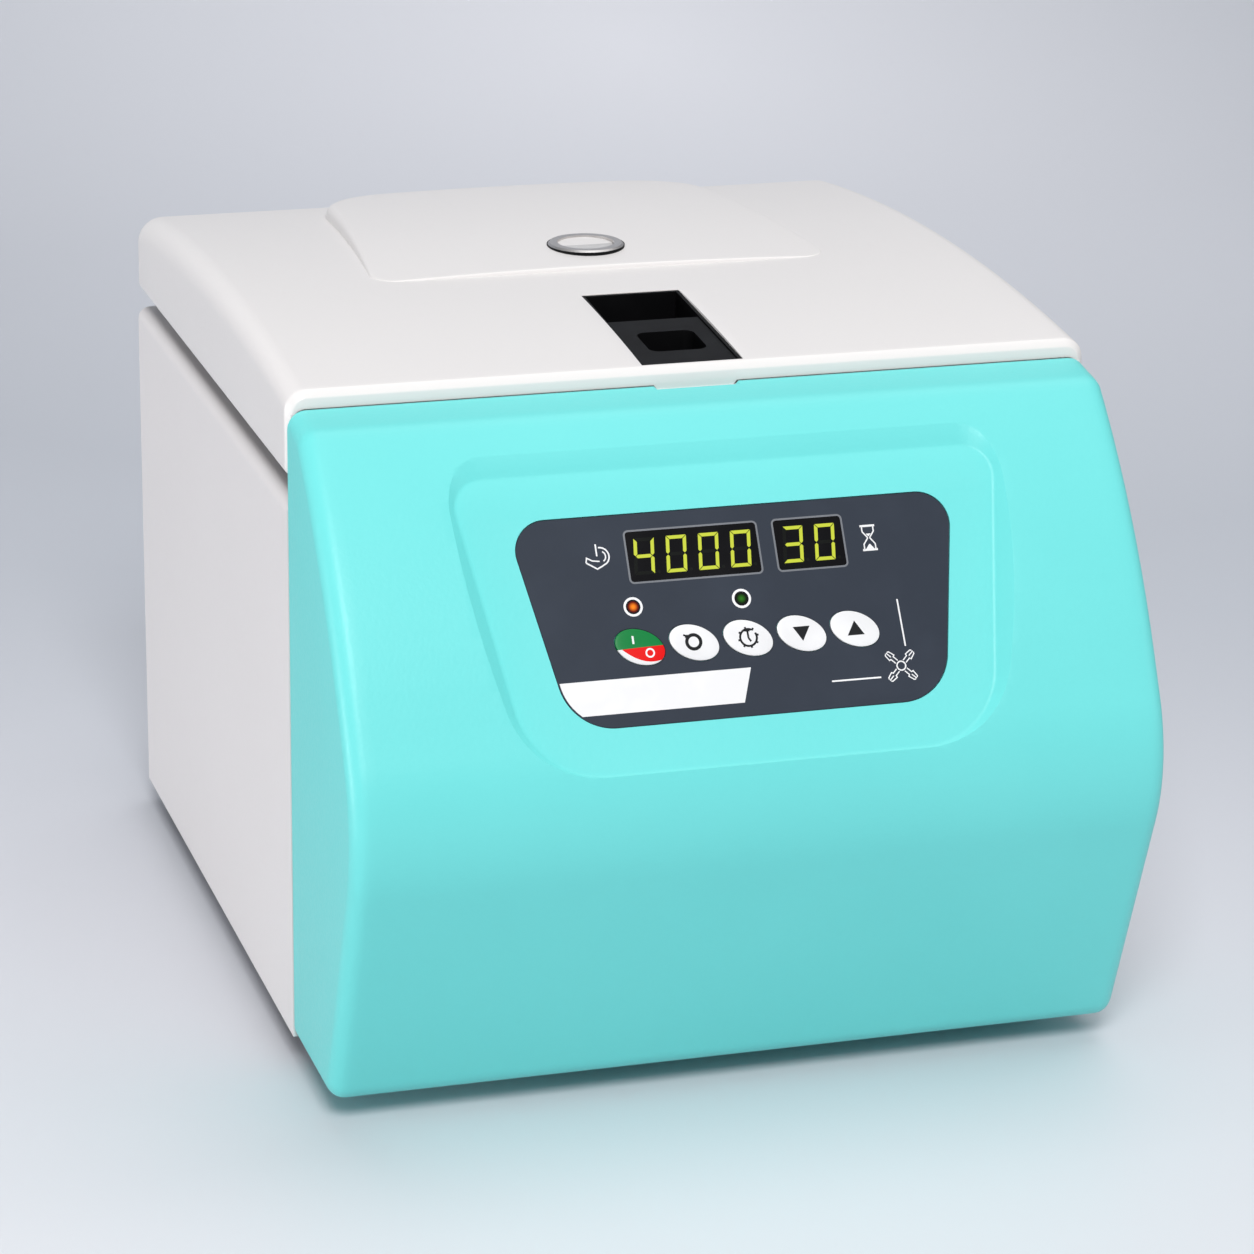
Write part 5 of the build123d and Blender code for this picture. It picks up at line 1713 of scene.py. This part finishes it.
@dataclass
class KeypadGraphics:
    """Printing on the overlay panel: display frames, lamp rings, stripe and function marks."""

    # Stripe: its lower and upper edge, where each ends at the right, and its gap to the panel's edge.
    stripe: Point2 = (24.6, 37.5)
    stripe_end: Point2 = (-5.9, -1.6)
    stripe_gap: float = 0.55
    # Rings round the lamps: radius and width.
    lamp_ring: Point2 = (3.21, 0.88)
    lamp_well: Point2 = (2.4, 0.9)
    frame_gap: float = 0.35
    frame_round: float = 1.6
    frame_width: float = 0.7
    rules: tuple[tuple[Point2, Point2], ...] = (((58.7, 58.5), (59.1, 40.5)), ((28.6, 29.6), (47.8, 29.5)))
    rule_width: float = 0.6

    def white(self) -> None:
        """Prints the white marks: stripe, lamp rings and function signs."""
        ink = panel_ink(0.04)
        ink.patch(self.stripe_outline())
        for x, v in LAMPS_AT:
            ink.ring(x, v, *self.lamp_ring)
        for rule in self.rules:
            ink.line(rule, self.rule_width)
        ink.sign(self.speed_sign(), (-53.5, 83.2))
        ink.sign(self.time_sign(), (51.5, 82.7))
        ink.ring(56.3, 33.2, 1.7, 0.5, 24)
        ink.sign(self.rotor_sign(), (56.3, 33.2))
        ink.piece("keypad_white_print", Finish.WHITE_PRINT, "root")

    def stripe_outline(self) -> list[Point2]:
        """Bare stripe from the panel's rounded left edge to its slanted right end.

        Returns:
            Its corners.
        """
        field = Field(PANEL_CORNERS)
        low, high = self.stripe
        left = []
        for k in range(9):
            v = high + (low - high) * k / 8
            outside, inside = -90.0, -50.0
            for _ in range(24):
                middle = (outside + inside) / 2
                within = field.distance(middle, v) < -self.stripe_gap
                outside, inside = (outside, middle) if within else (middle, inside)
            left.append((inside, v))
        return left + [(self.stripe_end[0], low), (self.stripe_end[1], high)]

    def speed_sign(self) -> list[Stroke]:
        """Turning arrow over a lever, the sign for speed.

        Returns:
            Its strokes.
        """
        return [(arc_path(1.0, 0.4, 3.4, -75, 95), 0.55), (arc_path(1.0, 0.4, 2.1, -60, 60, 10), 0.5),
                ([(-0.2, 5.2), (-0.2, 0.6)], 0.55), ([(-4.6, -1.6), (-0.6, -4.2), (1.9, -3.0)], 0.55),
                ([(-4.6, -1.6), (-4.2, 0.2), (-2.2, -1.0), (0.6, -1.4)], 0.5)]

    def time_sign(self) -> list[Stroke]:
        """Sand glass, the sign for time.

        Returns:
            Its strokes.
        """
        bulb = [(2.2, 4.4), (2.2, 2.4), (0.5, 0.2), (0.5, -0.2), (2.2, -2.4), (2.2, -4.4)]
        return [*[([(-2.9, level), (2.9, level)], 0.8) for level in (-4.6, 4.6)],
                *[([(side * a, b) for a, b in bulb], 0.5) for side in (-1, 1)],
                ([(-1.6, -4.2), (1.6, -4.2), (0.2, -2.4), (-0.2, -2.4)], 0.0),
                ([(-1.0, 1.6), (0.0, 0.5), (1.0, 1.6)], 0.0)]

    def rotor_sign(self) -> list[Stroke]:
        """Four-armed rotor seen from above, outlined.

        Returns:
            Its strokes.
        """
        edge = [(2.2, 0.7), (4.4, 0.7), (4.6, 1.4), (6.9, 1.0), (7.3, 0.45)]
        strokes = []
        for turn in (45, 135, 225, 315):
            along = Vector((math.cos(math.radians(turn)), math.sin(math.radians(turn))))
            across = Vector((-along.y, along.x))
            strokes += [([tuple(along * a + across * side * b) for a, b in edge], 0.42) for side in (-1, 1)]
            strokes.append(([tuple(along * 5.0), tuple(along * 7.4)], 0.42))
        return strokes

    def frames(self) -> None:
        """Prints light lines round both displays."""
        ink = panel_ink(0.03)
        for x, width, _ in DISPLAYS.values():
            box = rectangle(x, DISPLAY_V, width / 2 + self.frame_gap, DISPLAY_HEIGHT / 2 + self.frame_gap)
            ink.line(rounded([Corner(*spot, self.frame_round) for spot in box], 0.4), self.frame_width, True)
        ink.piece("display_frames", Finish.BORDER_PRINT, "root")

    def wells(self) -> None:
        """Makes the lamps' lenses and the dark rings round them."""
        ink, lens = panel_ink(0.02), panel_ink(0.03)
        for x, v in LAMPS_AT:
            ink.ring(x, v, *self.lamp_well)
            lens.patch(circle(x, v, LAMP_RADIUS, 32))
        ink.piece("lamp_wells", Finish.BLACK, "root")
        lens.piece("lamp_lenses", Finish.LAMPS, "root")

    def build(self) -> None:
        """Makes the panel's printing."""
        self.white()
        self.frames()
        self.wells()


@dataclass
class KeyCaps:
    """Domed elliptical keys and the signs on them."""

    # Heights over the panel's face, and how far a cap reaches under it.
    proud: float = 0.7
    body: float = 0.6
    rim: float = 0.3
    flatness: float = 1.6
    steps: int = 64
    stroke: float = 0.75
    ink: Point2 = (-0.04, 0.035)

    def dome(self, a: float, b: float) -> float:
        """Height of a cap on the recess's slope.

        Args:
            a: distance across from the cap's middle.
            b: distance up from it.

        Returns:
            Distance out of the slope.
        """
        turn = math.radians(-KEY_TILT)
        along = a * math.cos(turn) - b * math.sin(turn)
        across = a * math.sin(turn) + b * math.cos(turn)
        part = min(1.0, (along / KEY_LONG) ** 2 + (across / KEY_SHORT) ** 2)
        return PANEL_FACE + self.rim + (self.proud - self.rim) * math.sqrt(max(0.0, 1 - part**self.flatness))

    def cap(self, index: int) -> None:
        """Makes one key cap in place of its node.

        Args:
            index: the key's number from the left.
        """
        name = KEYS[index]
        x = KEY_X + index * KEY_PITCH
        turn = math.radians(KEY_TILT)
        rings = []
        for level, share in enumerate((1.0, 1.0, 0.985, 0.955, 0.9, 0.8, 0.65, 0.45, 0.2)):
            ring = []
            for k in range(self.steps):
                angle = math.tau * k / self.steps
                along, across = KEY_LONG * share * math.cos(angle), KEY_SHORT * share * math.sin(angle)
                a = along * math.cos(turn) - across * math.sin(turn)
                b = along * math.sin(turn) + across * math.cos(turn)
                out = PANEL_FACE - self.body if level == 0 else self.dome(a, b)
                ring.append(RECESS.at(x + a, KEY_V + b, out))
            rings.append(ring)
        tip = RECESS.at(x, KEY_V, self.dome(0, 0))
        piece = recalculate(loose_object(name + "_cap", *domed(rings, tip)))
        finish_piece(piece, Finish.SPLIT_KEY if index == 0 else Finish.KEY, name, 50.0)
        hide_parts(name)

    def layer(self, index: int) -> InkLayer:
        """An ink layer that follows one key's dome."""
        x = KEY_X + index * KEY_PITCH
        return InkLayer(lambda a, b, out: RECESS.at(x + a, KEY_V + b, self.dome(a, b) + out), *self.ink)

    def start_stop_sign(self) -> None:
        """Prints the marks for on and off."""
        layer = self.layer(0)
        layer.line(subdivided([(-2.4, 1.2), (-2.4, 4.2)]), self.stroke)
        layer.ring(3.4, -2.6, 1.5, self.stroke * 0.85, 28)
        layer.piece("start_stop_sign", Finish.WHITE_PRINT, KEYS[0])

    def speed_sign(self) -> None:
        """Prints a ring with an arrow's head."""
        layer = self.layer(1)
        layer.ring(-0.3, 0.1, 2.65, 1.25, 40)
        layer.line(subdivided([(-3.9, 3.0), (-2.0, 2.1)]), 0.7)
        layer.line(subdivided([(-3.3, 1.9), (-2.3, 2.9)]), 0.6)
        layer.piece("speed_sign", Finish.DARK_PRINT, KEYS[1])

    def time_sign(self) -> None:
        """Prints a clock."""
        layer = self.layer(2)
        layer.line(arc_path(0.0, 0.0, 3.2, 60, 390, 34), 0.8)
        for k in range(8):
            turn = math.radians(45 * k + 12)
            layer.line([(far * math.cos(turn), far * math.sin(turn)) for far in (3.1, 4.1)], 0.75)
        for start, end, width in (((-0.1, 2.6), (0.0, -0.2), 0.75), ((0.0, -0.2), (0.8, -1.5), 0.7),
                                  ((-1.2, 2.6), (0.8, 2.6), 0.65)):
            layer.line(subdivided([start, end]), width)
        layer.piece("time_sign", Finish.DARK_PRINT, KEYS[2])

    def arrow_signs(self) -> None:
        """Prints the arrows down and up."""
        for index, name, tip in ((3, "down_sign", -1), (4, "up_sign", 1)):
            layer = self.layer(index)
            layer.patch([(-3.3, -tip * 2.5), (3.3, -tip * 2.5), (0.0, tip * 3.0)][::tip])
            layer.piece(name, Finish.DARK_PRINT, KEYS[index])

    def build(self) -> None:
        """Makes every key and its sign."""
        for index in range(len(KEYS)):
            self.cap(index)
        self.start_stop_sign()
        self.speed_sign()
        self.time_sign()
        self.arrow_signs()


def subdivided(path: Sequence[Point2], step: float = 0.6) -> list[Point2]:
    """A path with extra points, so that its stroke follows a dome."""
    return spaced(path, step, False)


# ---------------- fasteners and vents
class InstanceTree(Tree):
    """A Geometry Nodes tree that puts a small shape at every point of a mesh."""

    def __init__(self, name: str, sizes: dict[str, float]) -> None:
        """Starts a tree with its points, its finish and its sizes as inputs.

        Args:
            name: the tree's name.
            sizes: each size in metres, by its name.
        """
        super().__init__(bpy.data.node_groups.new(name, "GeometryNodeTree"))
        sockets = self.tree.interface
        sockets.new_socket("Geometry", in_out="OUTPUT", socket_type="NodeSocketGeometry")
        sockets.new_socket("Points", in_out="INPUT", socket_type="NodeSocketGeometry")
        sockets.new_socket("Finish", in_out="INPUT", socket_type="NodeSocketMaterial")
        for size, value in sizes.items():
            sockets.new_socket(size, in_out="INPUT", socket_type="NodeSocketFloat").default_value = value
        self.entry = self.tree.nodes.new("NodeGroupInput")
        self.exit = self.tree.nodes.new("NodeGroupOutput")

    def taken(self, name: str) -> bpy.types.NodeSocket:
        """One of the tree's inputs."""
        return self.entry.outputs[name]

    def scaled(self, value: bpy.types.NodeSocket, factor: float) -> bpy.types.NodeSocket:
        """A value times a number.

        Args:
            value: the output to scale.
            factor: the number.

        Returns:
            The product.
        """
        made = self.node("ShaderNodeMath", {"operation": "MULTIPLY"})
        self.feed(made.inputs[0], value)
        self.feed(made.inputs[1], factor)
        return made.outputs[0]

    def together(self, *shapes: bpy.types.NodeSocket) -> bpy.types.NodeSocket:
        """Several shapes as one.

        Args:
            shapes: outputs that carry them.

        Returns:
            The joined shape.
        """
        made = self.node("GeometryNodeJoinGeometry")
        for shape in shapes:
            self.feed(made.inputs[0], shape)
        return made.outputs[0]

    def moved(self, shape: bpy.types.NodeSocket, **inputs: object) -> bpy.types.NodeSocket:
        """A shape after a Transform node with those inputs."""
        return self.node("GeometryNodeTransform", Geometry=shape, **inputs).outputs[0]

    def close(self, shape: bpy.types.NodeSocket, rotation: Sequence[float], seed: int,
              spin: float) -> bpy.types.NodeTree:
        """Puts the shape on the points and ends the tree.

        Args:
            shape: the small shape.
            rotation: how it is turned onto its face, in radians.
            seed: seed of the random spin about its own axis.
            spin: greatest random spin, in radians.

        Returns:
            The finished tree.
        """
        placed = self.node("GeometryNodeInstanceOnPoints", Points=self.taken("Points"), Instance=shape,
                           Rotation=rotation)
        turn = self.node("FunctionNodeRandomValue", {"data_type": "FLOAT"}, Seed=seed, Max=spin)
        angle = self.node("ShaderNodeCombineXYZ", Z=next(s for s in turn.outputs if s.enabled))
        spun = self.node("GeometryNodeRotateInstances", Instances=placed.outputs[0],
                         Rotation=angle.outputs[0])
        real = self.node("GeometryNodeRealizeInstances", Geometry=spun.outputs[0])
        done = self.node("GeometryNodeSetMaterial", Geometry=real.outputs[0], Material=self.taken("Finish"))
        self.tree.links.new(done.outputs[0], self.exit.inputs[0])
        return self.tree


@dataclass
class ScrewHeads:
    """Cross-recessed pan heads at a list of places on one face of the machine."""

    name: str
    body: str
    places: Sequence[tuple[float, float, float]]
    turn: tuple[float, float, float]
    radius: float = 3.4
    height: float = 1.9
    seed: int = 7
    crown: float = 0.72
    # Slot's length and width, as shares of the radius.
    slot: Point2 = (1.1, 0.22)
    sides: int = 28

    def tree(self) -> bpy.types.NodeTree:
        """The heads' tree: a stepped pan with two crossing slots cut from it.

        Returns:
            The finished tree.
        """
        tree = InstanceTree(self.name + "_tree", {"Radius": self.radius * MM, "Height": self.height * MM})
        radius = tree.taken("Radius")
        half = tree.scaled(tree.taken("Height"), 0.5)
        sizes = {"Vertices": self.sides, "Radius_Bottom": radius, "Depth": half}
        rim, pan = (tree.node("GeometryNodeMeshCone", Radius_Top=top, **sizes)
                    for top in (radius, tree.scaled(radius, self.crown)))
        lift = tree.node("ShaderNodeCombineXYZ", Z=half).outputs[0]
        head = tree.together(rim.outputs["Mesh"], tree.moved(pan.outputs["Mesh"], Translation=lift))
        long, wide = (self.radius * share * MM for share in self.slot)
        slot = tree.node("GeometryNodeMeshCube", Size=(long, wide, self.height * MM)).outputs["Mesh"]
        slots = tree.together(slot, tree.moved(slot, Rotation=(0, 0, math.pi / 2)))
        slots = tree.moved(slots, Translation=(0, 0, self.height * 0.95 * MM))
        cut = tree.node("GeometryNodeMeshBoolean", {"operation": "DIFFERENCE"}, Mesh_1=head, Mesh_2=slots)
        return tree.close(cut.outputs["Mesh"], self.turn, self.seed, math.pi / 2)

    def build(self) -> None:
        """Makes the heads as one mesh."""
        piece = loose_object(self.name, [Vector(place) * MM for place in self.places], [])
        grow_on(piece, self.tree(), Finish.BRIGHT)
        finish_piece(piece, Finish.BRIGHT, self.body, 30.0)


def grow_on(piece: bpy.types.Object, tree: bpy.types.NodeTree, finish: Finish) -> None:
    """Runs a tree on a piece and keeps the result as its mesh.

    Args:
        piece: the object whose mesh holds the points.
        tree: the tree.
        finish: what covers the shapes.
    """
    modifier = piece.modifiers.new("grow", "NODES")
    modifier.node_group = tree
    for item in tree.interface.items_tree:
        if item.in_out == "INPUT" and item.name == "Finish":
            modifier[item.identifier] = finish.material()
    apply_modifiers(piece)


@dataclass
class VentHoods:
    """Pressed hoods over the rear louvres, in two columns."""

    count: int = 7
    length: float = 62.0
    pitch: float = 9.0
    first_z: float = 120.2
    spread: float = 78.0
    radius: float = 1.0
    stretch: tuple[float, float, float] = (1.0, 1.5, 1.9)

    def tree(self) -> bpy.types.NodeTree:
        """The hoods' tree: a half-round pressing, closed at its ends, on every point.

        Returns:
            The finished tree.
        """
        tree = InstanceTree("vent_hoods_tree", {"Length": self.length * MM})
        reach = tree.node("ShaderNodeCombineXYZ", X=tree.taken("Length")).outputs[0]
        path = tree.node("GeometryNodeCurvePrimitiveLine", End=reach)
        section = tree.node("GeometryNodeCurveArc", Resolution=8, Radius=self.radius * MM, Start_Angle=0.0,
                            Sweep_Angle=math.pi)
        hood = tree.node("GeometryNodeCurveToMesh", Curve=path.outputs[0], Profile_Curve=section.outputs[0])
        placed = tree.moved(hood.outputs[0], Translation=(-self.length / 2 * MM, 0, 0), Scale=self.stretch)
        return tree.close(placed, (0, 0, 0), 3, 0.0)

    def build(self) -> None:
        """Makes every hood as one mesh."""
        points = [Vector((side * self.spread, REAR_Y, self.first_z + row * self.pitch)) * MM
                  for side in (-1, 1) for row in range(self.count)]
        piece = loose_object("vent_hoods", points, [])
        grow_on(piece, self.tree(), Finish.CABINET)
        finish_piece(piece, Finish.CABINET, "root", 30.0)


# ---------------- finishes of the machine's own parts
DRESS: dict[Finish, tuple[str, ...]] = {
    Finish.CABINET: ("cabinet_wrap", "front_bulkhead"),
    Finish.DECK: ("base_pan", "top_deck"),
    Finish.LINER: ("lid_liner",),
    Finish.PANEL: ("keypad_panel",),
    Finish.SCREEN: ("speed_display", "time_display"),
    Finish.LAMPS: ("indicator_leds",),
    Finish.CIRCUIT: ("control_board", "power_supply"),
    Finish.BEZEL: ("sight_glass_bezel",),
    Finish.GLASS: ("sight_glass",),
    Finish.BLACK: ("latch_housing", "latch_paddle"),
    Finish.FITTING: ("lock_body", "rotor_nut", "power_inlet", "fuse_drawer", "switch_frame", "switch_rocker",
                     "motor_body"),
    Finish.RUBBER: ("feet", "lid_gasket", "shaft_boot"),
    Finish.GREY_RUBBER: ("rubber_mounts",),
    Finish.STEEL: ("latch_hook", "lid_striker", "hinge_brackets", "hinge_arms", "motor_plate"),
    Finish.BRIGHT: ("lock_bolt", "hinge_pins", "motor_shaft", "trunnion_pins"),
    Finish.BOWL: ("chamber_bowl",),
    Finish.ALLOY: ("rotor_head",),
}
CARRIER_DRESS = {"carrier_frame": Finish.STEEL, "glass_slide": Finish.SLIDE, "sample_chamber": Finish.CHAMBER,
                 "chamber_clip": Finish.BRIGHT}
REPLACED = ("front_cover", "lid_shell", *KEYS)


def dress_nodes() -> None:
    """Gives every node that still shows its finish."""
    chosen = {node: finish for finish, nodes in DRESS.items() for node in nodes}
    chosen |= {f"{node}_{k}": finish for node, finish in CARRIER_DRESS.items() for k in range(1, 5)}
    chosen |= {node: Finish.KEY for node in REPLACED}
    for node, finish in chosen.items():
        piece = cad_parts[node]
        piece.data.materials.clear()
        piece.data.materials.append(finish.material())
    bare = sorted(set(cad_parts) - set(chosen))
    LOG.info("dressed %d nodes; left bare: %s", len(chosen), bare or "none")


# ---------------- studio
@dataclass
class Studio:
    """Floor and backdrop, with painted light in their paint, and soft lamps."""

    # Paint, with painted light on it: its colour far off, its lighter colour near the camera, which is
    # painted light, and a pale painted pool of light on the backdrop's foot.
    base: Colour = (0.558, 0.584, 0.638)
    near: Colour = (0.785, 0.785, 0.82)
    painted_light_pool: Colour = (0.92, 0.93, 0.985)
    painted_pool_place: Point2 = (0.48, 1.57)
    painted_pool_radius: float = 0.85
    painted_light_line: Point2 = (0.36, 0.93)
    # Air: its colour, the level at which it lights, and the level at which the camera sees it.
    sky: Colour = (0.86, 0.87, 0.89)
    air: float = 0.28
    shown: float = 0.78
    # Sweep: the flat floor's near and far end, the bend's radius, and the wall's top.
    floor: Point2 = (-3.6, 1.2)
    sweep: float = 1.6
    half_width: float = 4.5
    height: float = 7.0
    aim: tuple[float, float, float] = (0.0, 0.0, 0.14)

    def cyclorama(self) -> None:
        """Makes a floor that sweeps up into a wall behind the machine."""
        near, far = self.floor
        turns = [math.radians(a) for a in range(6, 91, 6)]
        run = [(near, 0.0), (far, 0.0)]
        run += [(far + self.sweep * math.sin(turn), self.sweep * (1 - math.cos(turn))) for turn in turns]
        run.append((far + self.sweep, self.height))
        rows = [[Vector((x, y, z)) for x in (-self.half_width, self.half_width)] for y, z in run]
        piece = loose_object("studio_sweep", *sheet(rows))
        piece.data.shade_smooth()
        piece.data.materials.append(self.material())

    def material(self) -> bpy.types.Material:
        """Pale, softly shining paint, with painted light: lighter towards the camera and a painted pool of
        light on the backdrop's foot.

        Returns:
            The material.
        """
        graph = Graph("studio_paint")
        # Painted light: the paint turns from its far colour to a lighter one towards the camera.
        across, along = self.painted_light_line
        ahead = graph.axis("X") * across + graph.axis("Y") * along
        close = graph.ramp(ahead + 0.5, (0.0, 1.0), (0.95, 0.0))
        # Painted pool of light: a pale round patch on the backdrop's foot, fading outwards.
        right, back = graph.axis("X") - self.painted_pool_place[0], graph.axis("Y") - self.painted_pool_place[1]
        apart = graph.math("SQRT", right * right + back * back * 0.6) / self.painted_pool_radius
        glow = graph.ramp(apart, (0.0, 1.0), (1.0, 0.0))
        tint = graph.mix(glow, graph.mix(close, self.base, self.near), self.painted_light_pool)
        fleck = graph.noise(0.4, 2.0)
        return graph.surface(Base_Color=tint, Roughness=fleck * 0.06 + 0.45, Specular_IOR_Level=0.35)

    def lamp(self, name: str, place: Sequence[float], size: float, power: float) -> None:
        """Adds a square soft lamp aimed at the machine.

        Args:
            name: the lamp's name.
            place: where it hangs, in metres.
            size: its side, in metres.
            power: its power, in watts.
        """
        data = bpy.data.lights.new(name, "AREA")
        data.shape = "SQUARE"
        data.size = size
        data.energy = power
        holder = bpy.data.objects.new(name, data)
        bpy.context.scene.collection.objects.link(holder)
        turn = (Vector(self.aim) - Vector(place)).to_track_quat("-Z", "Y")
        holder.matrix_world = Matrix.Translation(place) @ turn.to_matrix().to_4x4()

    def world(self) -> None:
        """Makes the air, which is shown brighter than it lights."""
        world = bpy.data.worlds.new("studio_air")
        bpy.context.scene.world = world
        world.use_nodes = True
        tree = Tree(world.node_tree)
        back = next(n for n in tree.tree.nodes if n.type == "BACKGROUND")
        seen = tree.node("ShaderNodeLightPath").outputs["Is Camera Ray"]
        level = tree.node("ShaderNodeMath", {"operation": "MULTIPLY_ADD"})
        for socket, value in zip(level.inputs, (seen, self.shown - self.air, self.air)):
            tree.feed(socket, value)
        tree.feed(back.inputs["Color"], (*self.sky, 1.0))
        tree.feed(back.inputs["Strength"], level.outputs[0])

    def build(self) -> None:
        """Makes the studio."""
        self.cyclorama()
        self.lamp("key_lamp", (-0.62, -2.3, 2.4), 1.1, 72)
        self.lamp("top_lamp", (0.7, 0.3, 3.0), 2.4, 35)
        self.lamp("right_lamp", (2.4, -1.6, 1.0), 1.4, 6)
        self.lamp("left_lamp", (-2.7, -0.2, 0.25), 0.46, 23)
        self.world()


@dataclass
class Viewpoint:
    """The camera."""

    place: tuple[float, float, float] = (-0.4936, -1.6370, 0.7096)
    yaw: float = 0.2955
    pitch: float = 0.3257
    roll: float = 0.0132
    lens: float = 127.66
    sensor: float = 36.0

    def build(self) -> None:
        """Makes the camera."""
        ahead = Vector((math.sin(self.yaw) * math.cos(self.pitch), math.cos(self.yaw) * math.cos(self.pitch),
                        -math.sin(self.pitch)))
        right = Vector((math.cos(self.yaw), -math.sin(self.yaw), 0.0))
        up = right.cross(ahead)
        c, s = math.cos(self.roll), math.sin(self.roll)
        right, up = right * c + up * s, up * c - right * s
        data = bpy.data.cameras.new("viewpoint")
        data.sensor_width = self.sensor
        data.lens = self.lens
        holder = bpy.data.objects.new("viewpoint", data)
        bpy.context.scene.collection.objects.link(holder)
        turn = Matrix((right, up, -ahead)).transposed().to_4x4()
        holder.matrix_world = Matrix.Translation(self.place) @ turn
        bpy.context.scene.camera = holder


def screw_sets() -> list[ScrewHeads]:
    """The fasteners of the cabinet and the deck.

    Returns:
        The rear and the rim set.
    """
    rear = [(x, REAR_Y + 0.05, z) for x in (-140, 0, 140) for z in (26, 214)]
    turns = [math.tau * (k + 0.5) / 8 for k in range(8)]
    rim = [(DECK_SCREWS_RADIUS * math.cos(t), ROTOR_Y + DECK_SCREWS_RADIUS * math.sin(t), DECK_SCREWS_Z)
           for t in turns]
    return [ScrewHeads("rear_screws", "root", rear, (-math.pi / 2, 0, 0)),
            ScrewHeads("rim_screws", "root", rim, (0, 0, 0), 2.2, 1.0, 11)]


def main() -> None:
    """Builds the dressed machine in order."""
    scene = bpy.context.scene
    scene.view_settings.view_transform = "Standard"
    Viewpoint().build()
    Studio().build()
    dress_nodes()
    CoverMoulding().build()
    LidMoulding().build()
    bezel_gasket()
    KeyCaps().build()
    KeypadGraphics().build()
    DisplayDigits().build()
    VentHoods().build()
    for heads in screw_sets():
        heads.build()


if __name__ == "__main__":
    logging.basicConfig(level=logging.INFO, format="%(name)s: %(message)s")
    main()
